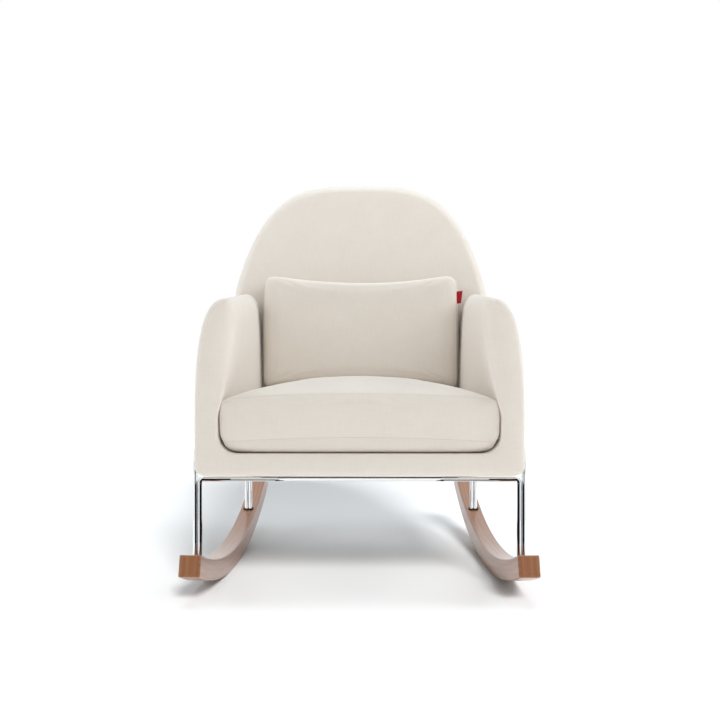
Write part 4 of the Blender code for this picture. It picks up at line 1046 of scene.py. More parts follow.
def tub_edges(outside, level, bend, top, inner, foot, corner):
    """Outer and inner edge of one half of the U-shaped front, or of its rear end, from the arm top
    to the middle of the skirt, as matching runs of (x, z).  Outside, the arm's own half width is
    followed; inside it is a quarter ellipse and a wall that leans by a power of its share.  The
    rounded corners and the two straight edges of the skirt follow."""
    bottom = SHELL_BOTTOM_Z
    z = level + (top[1] - level) * np.cos(np.linspace(0.0, QUARTER_TURN, 200)) ** 0.5
    z[-1] = level
    over = along(np.stack([outside(z), z], -1), 19)
    z = np.linspace(level, bottom + HEEL_HEIGHT, 120)
    flank = along(np.stack([outside(z), z], -1), 27)
    foot_x = float(outside(bottom)) - HEEL_WIDTH
    heel = arc((foot_x, bottom + HEEL_HEIGHT), (HEEL_WIDTH, -HEEL_HEIGHT), 0.0, QUARTER_TURN, 13)
    inner_x = foot[0] - ARM_FOOT_EASE - corner
    sole = straight((foot_x, bottom), (inner_x, bottom), 17)
    base = straight((inner_x, bottom), (0.0, bottom), 23)
    outer_edge = join(over, flank, heel, sole, base)

    turns = np.linspace(0.0, QUARTER_TURN, 19)
    under = np.stack([top[0] - (top[0] - inner[0]) * np.sin(turns),
                      inner[1] + (top[1] - inner[1]) * np.cos(turns)], -1)
    share = np.linspace(0.0, 1.0, 40)
    lean = np.stack([inner[0] + (foot[0] - inner[0]) * share ** bend,
                     inner[1] + (foot[1] - inner[1]) * share], -1)
    wall = join(lean, straight(foot, (inner_x + corner, BORDER_TOP_Z + corner), 8))
    curve = arc((inner_x, BORDER_TOP_Z + corner), (corner, -corner), 0.0, QUARTER_TURN, 17)
    lip = straight((inner_x, BORDER_TOP_Z), (0.0, BORDER_TOP_Z), 23)
    return outer_edge, join(under, along(wall, 39), curve, lip)


def whole_loop(edges):
    """Loop from the left arm top along the outer edge to the right one and back along the inner."""
    outer, inner = (np.concatenate([half, half[-2::-1] * MIRROR]) for half in edges)
    return np.concatenate([outer, inner[::-1]])


def tub_mesh(sizes):
    """Cover of both arms and the skirt in one U.  The front is padded: behind a point at distance
    d from the edge it lies F (1 - sqrt(1 - (1 - d/F) squared)) back, F being the rounding there.
    The padding is then smoothed by averaging each point with its neighbours.  Behind the front
    the U runs back in straight lines to the leaning back plane along the arms, and only to the
    depth of the border along the skirt."""
    front = whole_loop(tub_edges(
        arm_front_outside, ARM_FRONT_INNER[1], ARM_FRONT_BEND,
        ARM_FRONT_TOP, ARM_FRONT_INNER, ARM_FRONT_FOOT, sizes.inner_corner))
    rear = whole_loop(tub_edges(
        arm_rear_outside, ARM_REAR_SHOULDER_Z, ARM_REAR_BEND,
        ARM_REAR_TOP, ARM_REAR_INNER, ARM_REAR_FOOT, sizes.inner_corner))
    count = len(front) // 2
    from_middle = np.abs(np.arange(2 * count) % count - (count - 1) / 2)
    short = smoothstep((SKIRT_STEPS - from_middle) / SKIRT_EASE_STEPS)
    rear_y = back_plane(rear[:, 1]) - HAIRLINE
    rear_y = rear_y + (SHELL_FRONT_Y + BORDER_DEPTH - rear_y) * short
    rear = rear + (front - rear) * short[:, None]
    reach = rear_y - SHELL_FRONT_Y
    low = smoothstep((LARGE_ROUND_Z - front[:, 1]) / LARGE_ROUND_FALL)
    outside = np.arange(2 * count) < count
    small = np.where(outside, sizes.skirt_round, sizes.lip_round)
    large = np.where(outside, sizes.front_round, sizes.inner_round)
    crest = smoothstep((from_middle - (count / 2 - CREST_STEPS)) / CREST_STEPS)
    large = large + (0.5 * (sizes.front_round + sizes.inner_round) - large) * crest
    fillet = large + (small - large) * low

    start = fillet / reach
    edge = front + (rear - front) * start[:, None]
    middle = 0.5 * (edge + edge[::-1])
    shares = 1.0 - np.cos(QUARTER_TURN * np.arange(15, -1, -1) / 15.0)
    flat = edge[None] + (middle - edge)[None] * shares[:, None, None]
    gap = distance_to_loop(flat.reshape(-1, 2), edge).reshape(flat.shape[:2])
    inward = np.clip(gap / fillet[None], 0.0, 1.0)
    y = SHELL_FRONT_Y + fillet[None] * (1.0 - np.sqrt(1.0 - (1.0 - inward) ** 2))
    y = y - FRONT_CROWN * smoothstep((gap - FRONT_CROWN_START * fillet[None]) / FRONT_CROWN_REACH)
    free = smoothstep((inward - FRONT_HELD_SHARE) / FRONT_HELD_FADE)
    across = np.concatenate([y[:0:-1, :count], y[:, count:][:, ::-1]])
    give = np.concatenate([free[:0:-1, :count], free[:, count:][:, ::-1]])
    for _ in range(FRONT_SMOOTHING):
        soft = across.copy()
        soft[1:-1] = 0.25 * (across[:-2] + 2.0 * across[1:-1] + across[2:])
        soft[:, 1:-1] = 0.5 * soft[:, 1:-1] + 0.25 * (soft[:, :-2] + soft[:, 2:])
        across = across + (soft - across) * give
    last = len(shares) - 1
    y = np.concatenate([across[last::-1], across[last:, ::-1]], 1)
    cap = np.stack([flat[..., 0], y, flat[..., 1]], -1)

    part = start[None] + (1.0 - start)[None] * np.linspace(0.0, 1.0, 34)[:, None]
    body = front[None] + (rear - front)[None] * part[..., None]
    body_y = SHELL_FRONT_Y + part * reach[None]
    walls = np.stack([body[..., 0], body_y, body[..., 1]], -1)
    end_middle = 0.5 * (walls[-1] + walls[-1][::-1])
    back = walls[-1][None] + (end_middle - walls[-1])[None] * np.array([0.5, 1.0])[:, None, None]
    rings = np.concatenate([cap, walls, back])

    wall_uv = spread(lengths(closed(edge))[None], closed(body_y, 1))
    uv = np.concatenate([closed(flat, 1), wall_uv, np.repeat(wall_uv[-1:], 2, 0)])
    return skin("tub_cover", rings, uv)


def inside_half_width(z):
    """Half width of the inside back: tucked behind the arms below, the full arch above."""
    z = np.asarray(z, float)
    wider = smoothstep((z - INSIDE_WIDENS_Z) / INSIDE_WIDENS_RISE)
    return INSIDE_HALF_WIDTH + (back_half_width(z) - INSIDE_HALF_WIDTH) * wider


def back_outline(half_width, low, corner):
    """Closed outline (x, z) of a back pad, anticlockwise from the middle of its foot: a straight
    foot, a rounded corner, the side and the arch, closer spaced towards the top."""
    wide = float(half_width(low + corner))
    foot = straight((0.0, low), (wide - corner, low), 26)
    bend = arc((wide - corner, low + corner), corner, -QUARTER_TURN, 0.0, 9)
    share = np.sin(QUARTER_TURN * np.linspace(0.0, 1.0, 300))
    z = low + corner + (BACK_TOP_Z - low - corner) * share
    side = along(np.stack([half_width(z), z], -1), 96)
    return mirrored(join(foot, bend, side))


def roll(scales, start, power=2.0):
    """Rounded edge: the upper quarter of a superellipse between the outline and a start scale."""
    share = np.clip((scales - start) / (1.0 - start), 0.0, 1.0)
    return (1.0 - share ** power) ** (1.0 / power)


def back_mesh(name, outline, centre_z, depth, plane_sign, start):
    """Closed pad: its flat side on the back plane, and rings of its outline drawn in towards its
    centre, each off the plane by a depth that depends on its place and scale.  The sewn edge is
    drawn in a little at the plane, and the rings are closer together where the edge rolls."""
    centre = np.array([0.0, centre_z])
    rolled = start + (1.0 - start) * np.sin(np.linspace(QUARTER_TURN, 0.0, 16))
    scales = np.concatenate([rolled, np.linspace(start, 0.0, 22)[1:]])

    def off_plane(flat, off):
        y = back_plane(flat[..., 1]) + plane_sign * (HAIRLINE + off)
        return np.stack([flat[..., 0], y, flat[..., 1]], -1)

    flat = centre + (outline - centre)[None] * scales[:, None, None]
    rings = off_plane(flat, depth(flat[..., 0], flat[..., 1], scales[:, None]))
    reach = np.linalg.norm(outline - centre, axis=1)
    first = off_plane(centre + (outline - centre) * (1.0 - BACK_EDGE_TUCK / reach)[:, None], 0.0)
    out = rings[0].copy()
    out[:, 1] += plane_sign * BACK_EDGE_LIP
    middle = off_plane(centre, 0.0)
    backs = middle + (first - middle)[None] * np.array([0.0, 0.5])[:, None, None]
    rings = np.concatenate([backs, first[None], out[None], rings[1:]])
    wrap = closed(rings, 1)
    uv = np.stack([wrap[..., 0], wrap[..., 2] / math.cos(BACK_ANGLE)], -1)
    seam = np.zeros(rings.shape[:2])
    if plane_sign > 0.0:
        seam[4:] = seam_mark((1.0 - scales[1:])[:, None] * reach[None] - OUTSIDE_SEAM)
    return skin(name, rings, uv, {"seam": seam})


def inside_depth(x, z, scale):
    """Padding of the inside back, the same at every z: hollowed from side to side and rolled at
    its edge."""
    return (INSIDE_THICKNESS + INSIDE_HOLLOW * (x / ARCH_HALF_WIDTH) ** 2) * roll(scale, INSIDE_ROLL)


def outside_depth(x, z, scale):
    """Padding of the outside back: a wedge at the foot, a slight crown and a rolled edge, which is
    nearly square at the foot, where the cover goes round the rear rail."""
    rise = z - SHELL_BOTTOM_Z
    wedge = 1.0 - smoothstep(rise / OUTSIDE_WEDGE_RISE)
    crown = 1.0 + OUTSIDE_CROWN * (1.0 - scale ** 2)
    square = 1.0 - smoothstep((rise - FOOT_SQUARE_RISE) / FOOT_SQUARE_RISE_FADE)
    square = square * (1.0 - smoothstep((np.abs(x) - FOOT_SQUARE_HALF_WIDTH) / FOOT_SQUARE_SIDE_FADE))
    rounding = roll(scale, OUTSIDE_ROLL, 2.0 + FOOT_SQUARENESS * square)
    return (OUTSIDE_THICKNESS + OUTSIDE_WEDGE * wedge) * crown * rounding


def cushion_outline(inset):
    """Plan of the cushion drawn in by an inset: straight front and rear, quarter-circle corners
    and sides that taper to the rear and are drawn in half way."""
    front = CUSHION_FRONT_Y + inset
    rear = CUSHION_REAR_Y - inset
    radius = max(CUSHION_CORNER - CUSHION_CORNER_SHRINK * inset, CUSHION_LEAST_CORNER)

    def half_at(y):
        share = (y - CUSHION_FRONT_Y) / (CUSHION_REAR_Y - CUSHION_FRONT_Y)
        pull = CUSHION_PULL * (1.0 - (2.0 * share - 1.0) ** 2)
        return CUSHION_HALF_FRONT + (CUSHION_HALF_REAR - CUSHION_HALF_FRONT) * share - inset - pull

    def bend(y, start, end):
        turns = np.linspace(start, end, 11)
        y = y + radius * np.sin(turns)
        return np.stack([half_at(y) - radius + radius * np.cos(turns), y], -1)

    near = bend(front + radius, -QUARTER_TURN, 0.0)
    y = np.linspace(front + radius, rear - radius, 27)
    flank = np.stack([half_at(y), y], -1)
    far = bend(rear - radius, 0.0, QUARTER_TURN)
    return mirrored(join(straight((0.0, front), near[0], 26), near, flank, far,
                         straight(far[-1], (0.0, rear), 26)))


def cushion_profile(corner, front):
    """Side profile of the cushion as (inset, z) from its foot to its crown: an elliptic foot, an
    upright side and a crowned top, with a tighter upper edge at the sides than at the front."""
    low = CUSHION_BOTTOM_Z
    if front:
        corner = CUSHION_FRONT_FOOT * corner
    tall = CUSHION_FOOT_STRETCH * corner
    under = straight((CUSHION_UNDER_INSET, low), (corner, low), 10)
    turns = np.linspace(0.0, QUARTER_TURN, 14)
    foot = np.stack([corner - corner * np.sin(turns), low + tall - tall * np.cos(turns)], -1)
    knots = [(0.0, low + tall), (-CUSHION_BELLY, low + CUSHION_BELLY_RISE)]
    over = CUSHION_FRONT_KNOTS if front else CUSHION_SIDE_KNOTS
    knots += [(inset, CUSHION_SIDE_Z + rise) for inset, rise in over]
    knots += [(CUSHION_CROWN_INSET, CUSHION_CROWN_Z)]
    return join(under, foot, along(smooth_curve(knots, 400), 56))


def cushion_mesh(sizes):
    """Seat cushion: the plan carried up the side profile, closed by a pole above and below.  Along
    the front and the rear the profile passes from the side's to the front's as 1 - (x/w) squared,
    and at the foot as 1 - (x/w) to the power 8.  The front of the foot droops over the skirt."""
    profiles = [cushion_profile(sizes.cushion_corner, front) for front in (False, True)]
    stacks = []
    for profile in profiles:
        plans = np.stack([cushion_outline(inset) for inset in profile[:, 0]])
        z = np.broadcast_to(profile[:, 1, None, None], (*plans.shape[:2], 1))
        stacks.append(np.concatenate([plans, z], -1))
    plan = cushion_outline(0.0)
    middle = 0.5 * (CUSHION_FRONT_Y + CUSHION_REAR_Y)
    ends = np.abs(plan[:, 1] - middle) / (CUSHION_REAR_Y - middle)
    ends = smoothstep((ends - CUSHION_END_SHARE) / (1.0 - CUSHION_END_SHARE))
    across = plan[None, :, 0] / CUSHION_HALF_FRONT
    row = np.arange(len(profiles[0]))[:, None]
    foot = 1.0 - smoothstep((row - CUSHION_FOOT_ROWS) / CUSHION_FOOT_FADE_ROWS)
    share = ends * (1.0 - across ** 2 + (across ** 2 - across ** 8) * foot)
    rings = stacks[0] + (stacks[1] - stacks[0]) * share[..., None]
    over = smoothstep((SHELL_FRONT_Y + CUSHION_DROOP_DEPTH - rings[..., 1]) / CUSHION_DROOP_FADE)
    low = 1.0 - smoothstep((rings[..., 2] - CUSHION_BOTTOM_Z) / CUSHION_FOOT_HEIGHT)
    rings[..., 2] -= CUSHION_DROOP * over * low
    heights = (CUSHION_BOTTOM_Z, CUSHION_CROWN_Z)
    poles = [np.broadcast_to(np.array([0.0, middle, z]), rings[:1].shape) for z in heights]
    rings = np.concatenate([poles[0], rings, poles[1]])
    profile = profiles[0]
    drop = lengths(profile)
    drop = np.concatenate([[0.0], drop, drop[-1:]])
    side_uv = spread(lengths(closed(plan))[None], drop[:, None])
    top = (profile[:, 0] > CUSHION_TOP_PANEL_INSET) & (profile[:, 1] > CUSHION_SIDE_Z)
    panel = np.concatenate([[True], top | (profile[:, 0] > CUSHION_FOOT_PANEL_INSET), [True]])
    uv = np.where(panel[:, None, None], closed(rings, 1)[..., :2], side_uv)
    bow = 1.0 - np.clip(rings[..., 0] / CUSHION_HALF_FRONT, -1.0, 1.0) ** 2
    low_seam = CUSHION_BOTTOM_Z + CUSHION_LOW_SEAM + CUSHION_LOW_SEAM_BOW * bow
    top_seam = CUSHION_SIDE_Z + CUSHION_TOP_SEAM + CUSHION_TOP_SEAM_BOW * bow
    seam = seam_mark(rings[..., 2] - low_seam) + seam_mark(rings[..., 2] - top_seam)
    held = np.clip(1.0 - (rings[..., 2] - CUSHION_BOTTOM_Z) / CUSHION_HELD_HEIGHT, 0.0, 1.0)
    return skin("seat_cushion_cover", rings, uv, {"seam": seam, "held": held})


def pillow_point(x, rise, off):
    """Pillow place: along its width, up its face and off its middle plane towards the sitter."""
    cos, sin = math.cos(BACK_ANGLE), math.sin(BACK_ANGLE)
    off = off + PILLOW_OFF
    face = back_plane(PILLOW_REST_Z) - INSIDE_THICKNESS
    y = face + rise * sin - off * cos
    z = PILLOW_REST_Z + rise * cos + off * sin
    return np.stack(np.broadcast_arrays(x, y, z), -1)


def pillow_edge():
    """Knife edge of the pillow: a superellipse of power 18 above and 24 below, whose sides
    bulge a little and whose top dips between two raised corners."""
    count = PILLOW_EDGE_POINTS * 4
    turn = 2.0 * np.pi * (np.arange(count) + 0.5) / count
    cos, sin = np.cos(turn), np.sin(turn)
    power = np.where(sin > 0.0, PILLOW_UPPER_POWER, PILLOW_LOWER_POWER)
    size = (np.abs(cos) ** power + np.abs(sin) ** power) ** (-1.0 / power)
    a, b = cos * size, sin * size
    bulge = 1.0 + PILLOW_SIDE_BULGE * (1.0 - b ** 2)
    x = PILLOW_HALF_WIDTH * a * bulge * (1.0 - PILLOW_FOOT_TAPER * (1.0 - b))
    top = PILLOW_TOP_MIDDLE + (PILLOW_TOP_CORNER - PILLOW_TOP_MIDDLE) * np.abs(a) ** PILLOW_TOP_POWER
    foot = PILLOW_FOOT_MIDDLE + (PILLOW_FOOT_CORNER - PILLOW_FOOT_MIDDLE) * a ** 2
    edge = np.stack([x, b * np.where(b > 0.0, top, foot)], -1)
    return along(closed(edge), PILLOW_EDGE_POINTS + 1)[:-1]


def pillow_mesh():
    """Knife-edge pillow: two faces that swell from a thin sewn edge.  At scale s of the outline the
    half thickness is H times the root of 1 - s to the power 20, with a thin lip outside it."""
    edge = pillow_edge()
    face = np.linspace(0.0, PILLOW_FACE_SCALE, 24)
    turn = np.linspace(PILLOW_FACE_SCALE, PILLOW_TURN_SCALE, 20)[1:]
    scale = np.concatenate([face, turn, PILLOW_LIP_SCALES])
    fill = (1.0 - np.clip(scale / PILLOW_SEAM_SCALE, 0.0, 1.0) ** PILLOW_FILL_POWER) ** 0.5
    half = PILLOW_SWELL * fill + PILLOW_LIP
    flat = scale[:, None, None] * edge[None]
    front = pillow_point(flat[..., 0], flat[..., 1], half[:, None])
    rear = pillow_point(flat[..., 0], flat[..., 1], -half[:, None])
    rings = np.concatenate([front, rear[::-1]])
    flat = closed(flat, 1)
    uv = np.concatenate([flat, flat[::-1] + 1.0])
    both = np.concatenate([scale, scale[::-1]])[:, None]
    held = smoothstep((both - PILLOW_HELD_SCALE) / PILLOW_HELD_FADE)
    held = np.broadcast_to(held, rings.shape[:2])
    return skin("lumbar_pillow_cover", rings, uv, {"held": held})


def tab_mesh():
    """Blank tab: a ribbon folded over on itself, leaning up at its free end.  Its outline in
    (length, thickness) is two layers joined by a half circle at the fold."""
    wide, thick, tall = TAB_SIZE
    edge = pillow_edge()
    start = edge[np.abs(edge[:, 1] - TAB_RISE) < 0.5 * tall, 0].max() - TAB_SEWN_IN
    layer = 0.5 * thick
    slit = 0.12 * layer
    fold = arc((wide - layer, 0.0), layer, -QUARTER_TURN, QUARTER_TURN, 9)
    bow = 0.15 * layer
    inner = arc((wide - layer - TAB_FOLD_GAP, 0.0), (bow, slit), -QUARTER_TURN, QUARTER_TURN, 9)
    loop = np.concatenate([
        straight((0.0, -layer), fold[0], 8)[:-1], fold, straight(fold[-1], (0.0, layer), 8)[1:],
        straight((0.0, slit), inner[-1], 8), inner[::-1], straight(inner[0], (0.0, -slit), 8)])
    rises = np.concatenate([[-0.5, -0.5], np.linspace(-0.5, 0.5, 14), [0.5, 0.5]])[:, None] * tall
    shrink = np.concatenate([[0.0, 0.6], np.ones(14), [0.6, 0.0]])
    out = np.broadcast_to(loop[None, :, 0], (len(rises), len(loop)))
    lifted = rises + TAB_LIFT * tall * (out / wide)
    centre = np.sign(loop[:, 1]) * 0.56 * layer
    off = centre[None] + (loop[None, :, 1] - centre[None]) * shrink[:, None]
    rings = pillow_point(start + out + TAB_LEAN * rises, TAB_RISE + lifted, off)
    return skin("pillow_label_tab", rings, spread(lengths(closed(loop))[None], rises))


def slab_mesh(name, outline, low, high, edge, crown):
    """Soft slab: an outline with rounded edges and a slightly crowned top."""
    centre = outline.mean(0)
    arms = outline - centre
    reach = np.linalg.norm(arms, axis=1)[:, None]
    levels = [(arms * share, low) for share in (0.0, 0.5, 0.85)]
    for turn in np.linspace(-QUARTER_TURN, QUARTER_TURN, 13):
        inset = edge * (1.0 - math.cos(turn))
        z = 0.5 * (low + high) + 0.5 * (high - low) * math.sin(turn)
        levels.append((arms * (1.0 - inset / reach), z))
    for share in np.linspace(0.95, 0.0, 14):
        levels.append((arms * share * (1.0 - edge / reach), high + crown * (1.0 - share ** 2)))
    rings = np.stack([np.column_stack([centre + flat, np.full(len(outline), z)]) for flat, z in levels])
    wrap = closed(rings, 1)
    return skin(name, rings, wrap[..., :2] + wrap[..., 2:] * 0.7)


def trapezoid(front_half, rear_half, front_y, rear_y, count):
    """Outline of a tapering panel, evenly spaced."""
    corners = [(-front_half, front_y), (front_half, front_y), (rear_half, rear_y), (-rear_half, rear_y)]
    return along(corners + corners[:1], count + 1)[:-1]


class CHAIR_OT_rockers(bpy.types.Operator):
    """Lacquered walnut rockers with nut pockets below"""

    bl_idname = "chair.rockers"
    bl_label = "Rockers"

    def execute(self, context):
        sizes = context.scene.chair_sizes
        colours = context.scene.chair_colours
        walnut = wood_material("lacquered_walnut", colours.walnut, colours.walnut_dark, coat=0.65,
                               uv_name="weave")
        for label, side in SIDES:
            mesh = rocker_mesh(side, sizes.rocker_edge, sizes.rocker_end)
            cutters = []
            for _, v in LEGS:
                low = rocker_z(v, 0.0)
                centre = place(side, -ROD_OFFSET, v, 0.0)
                cutters.append(pocket_cutter(centre, low - NUT_POCKET_BELOW, low + NUT_POCKET_DEPTH))
            mesh = cut_pockets(mesh, cutters)
            name = f"walnut_rocker_{label}"
            piece_of(name, mesh, walnut, "chair", [f"rocker_{label}"], sharp=35)
        return {"FINISHED"}


class CHAIR_OT_rods(bpy.types.Operator):
    """Bent chrome rods of the base"""

    bl_idname = "chair.rods"
    bl_label = "Chrome rods"

    def execute(self, context):
        sizes = context.scene.chair_sizes
        chrome = metal_material("chrome_plate", context.scene.chair_colours.chrome,
                                smooth=0.015, cloudy=0.03, metallic=1.0, relief=0.0)
        for label, side in SIDES:
            normal = place(side, 1.0, 0.0, 0.0) - place(side, 0.0, 0.0, 0.0)
            mesh = tube("side_rod", side_loop_path(side), sizes.rod_radius, sizes.tube_sides, normal)
            name = f"side_rod_{label}"
            piece_of(name, mesh, chrome, "chair", [f"side_loop_{label}"], sharp=50)
        for kind, v in LEGS:
            path, radius = cross_loop_path(v, sizes.rod_radius)
            mesh = tube("cross_rod", path, radius, sizes.tube_sides, np.array([0.0, 1.0, 0.0]))
            piece_of(f"cross_rod_{kind}", mesh, chrome, "chair", [f"{kind}_loop"], sharp=50)
        return {"FINISHED"}


class CHAIR_OT_collars(bpy.types.Operator):
    """Dark collars where the rods enter the rockers"""

    bl_idname = "chair.collars"
    bl_label = "Foot collars"

    def execute(self, context):
        for label, side in SIDES:
            for kind, v in LEGS:
                name = f"foot_collar_{kind}_{label}"
                node = f"leg_collar_{kind}_{label}"
                piece_of(name, collar_mesh(side, v), dark_steel(context), "chair", [node])
        return {"FINISHED"}


class CHAIR_OT_tub(bpy.types.Operator):
    """Linen cover of the arms and the skirt in one U"""

    bl_idname = "chair.tub"
    bl_label = "Arms and skirt"

    def execute(self, context):
        mesh = tub_mesh(context.scene.chair_sizes)
        places = points_of(mesh)
        calm = smoothstep((places[:, 1] - SHELL_FRONT_Y) / ARM_CALM_DEPTH)
        push(mesh, ARM_RIPPLE * ripple(places, size=0.16, seed=3) * calm)
        nodes = ["arm_pad_left", "arm_pad_right", "front_border"]
        cover = piece_of("tub_cover", mesh, linen(context), "chair", nodes, subdivide=1)
        return {"FINISHED"}


class CHAIR_OT_back(bpy.types.Operator):
    """Linen covers of the inside and the outside back"""

    bl_idname = "chair.back"
    bl_label = "Back covers"

    def execute(self, context):
        outline = back_outline(inside_half_width, INSIDE_BOTTOM_Z, INSIDE_CORNER)
        inside = back_mesh("inside_back_cover", outline, INSIDE_CENTRE_Z, inside_depth, -1.0, INSIDE_ROLL)
        outline = back_outline(back_half_width, SHELL_BOTTOM_Z, OUTSIDE_CORNER)
        outside = back_mesh("outside_back_cover", outline, OUTSIDE_CENTRE_Z, outside_depth, 1.0,
                            OUTSIDE_ROLL)
        sew(outside, context.scene.chair_sizes.seam_depth)
        for mesh, node, seed in ((inside, "inside_back", 11), (outside, "outside_back", 12)):
            places = points_of(mesh)
            away = np.abs(places[:, 1] - back_plane(places[:, 2]))
            calm = smoothstep((away - BACK_CALM) / BACK_CALM_FADE)
            push(mesh, BACK_RIPPLE * ripple(places, size=0.19, seed=seed) * calm)
            name = f"{node}_cover"
            cover = piece_of(name, mesh, linen(context), "chair", [node], subdivide=1)
        return {"FINISHED"}


class CHAIR_OT_cushion(bpy.types.Operator):
    """Loose seat cushion, swollen as cloth and sewn round its top and foot"""

    bl_idname = "chair.cushion"
    bl_label = "Seat cushion"

    def execute(self, context):
        sizes = context.scene.chair_sizes
        mesh = cushion_mesh(sizes)
        sewn = CUSHION_SEAM_HOLD * np.exp(-(seam_gap(mesh) / CUSHION_SEAM_HOLD_WIDTH) ** 2)
        held = np.maximum(marks_of(mesh, "held"), sewn)
        rise = points_of(mesh)[:, 2] - CUSHION_BOTTOM_Z
        push(mesh, -CUSHION_SHRINK * smoothstep(rise / CUSHION_HELD_HEIGHT))
        swell(mesh, held, CUSHION_SWELL_CAP)
        sew(mesh, 0.8 * sizes.seam_depth)
        places = points_of(mesh)
        calm = smoothstep((places[:, 2] - CUSHION_BOTTOM_Z) / CUSHION_FOOT_HEIGHT)
        push(mesh, CUSHION_RIPPLE * ripple(places, size=0.13, seed=21) * calm)
        cover = piece_of("seat_cushion_cover", mesh, linen(context), "seat_cushion", ["seat_cushion"],
                         subdivide=1)
        return {"FINISHED"}


class CHAIR_OT_pillow(bpy.types.Operator):
    """Loose lumbar pillow with a knife edge, swollen as cloth, and its blank tab"""

    bl_idname = "chair.pillow"
    bl_label = "Lumbar pillow"

    def execute(self, context):
        mesh = pillow_mesh()
        held = marks_of(mesh, "held")
        swell(mesh, held, PILLOW_SWELL_CAP)
        push(mesh, PILLOW_RIPPLE * ripple(points_of(mesh), size=0.12, seed=31) * (1.0 - held))
        cover = piece_of("lumbar_pillow_cover", mesh, linen(context), "lumbar_pillow", ["lumbar_pillow"],
                         subdivide=1)
        red = context.scene.chair_colours.tab
        ribbon = cloth_material("red_ribbon", red, darker(red, 0.6), thread=0.0006, slub=0.4)
        piece_of("pillow_label_tab", tab_mesh(), ribbon, "lumbar_pillow", ["pillow_tab"])
        return {"FINISHED"}


class CHAIR_OT_deck(bpy.types.Operator):
    """Felt deck under the cushion and black dust cloth under the seat"""

    bl_idname = "chair.deck"
    bl_label = "Deck and dust cloth"

    def execute(self, context):
        colours = context.scene.chair_colours
        low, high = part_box("deck_pad")
        rear_half = DECK_HALF_WIDTH - math.tan(TOE_IN) * (high.y - DECK_FRONT_Y)
        outline = trapezoid(DECK_HALF_WIDTH + DECK_EASE, rear_half, low.y, high.y, count=160)
        mesh = slab_mesh("deck_felt", outline, low.z, high.z - DECK_LOWER, edge=0.006, crown=0.0006)
        shade = darker(colours.felt, 0.72)
        felt = cloth_material("deck_felt_cloth", colours.felt, shade, thread=0.0016, slub=1.6)
        deck = piece_of("deck_felt", mesh, felt, "chair", ["deck_pad"], subdivide=1)

        low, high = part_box("dust_cover")
        depth = high.y - low.y
        near = high.x
        far = near - math.tan(TOE_IN) * depth
        outline = trapezoid(near, far, low.y, high.y, count=200)
        mesh = slab_mesh("dust_cloth", outline, low.z + DUST_CLOTH_FROM, low.z + DUST_CLOTH_TO,
                         edge=0.0003, crown=0.0004)
        black = colours.black_cloth
        cloth = cloth_material("black_dust_cloth", black, darker(black, 0.4), thread=0.0012, slub=1.2)
        sheet = piece_of("dust_cloth", mesh, cloth, "chair", ["dust_cover"])
        return {"FINISHED"}


class CHAIR_OT_frame(bpy.types.Operator):
    """Timber, panels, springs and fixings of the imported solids"""

    bl_idname = "chair.frame"
    bl_label = "Frame inside"

    def execute(self, context):
        colours = context.scene.chair_colours
        brown = darker(colours.beech, 0.62)
        shade = darker(colours.plywood, 0.68)
        finishes = {
            "beech": wood_material("beech_timber", colours.beech, brown, coat=0.0),
            "plywood": wood_material("plywood_sheet", colours.plywood, shade, coat=0.0,
                                     axes=(1.0, 0.35, 1.0)),
            "zinc_steel": metal_material("zinc_steel_finish", colours.steel,
                                         smooth=0.28, cloudy=0.22, metallic=1.0, relief=0.15),
            "dark_steel": dark_steel(context),
        }
        for entry in frame["record"]["subparts"]:
            node = frame["nodes"][entry["node"]]
            if node.hide_render:
                continue
            node.data.materials.clear()
            node.data.materials.append(finishes[entry["material_slot"]])
        return {"FINISHED"}


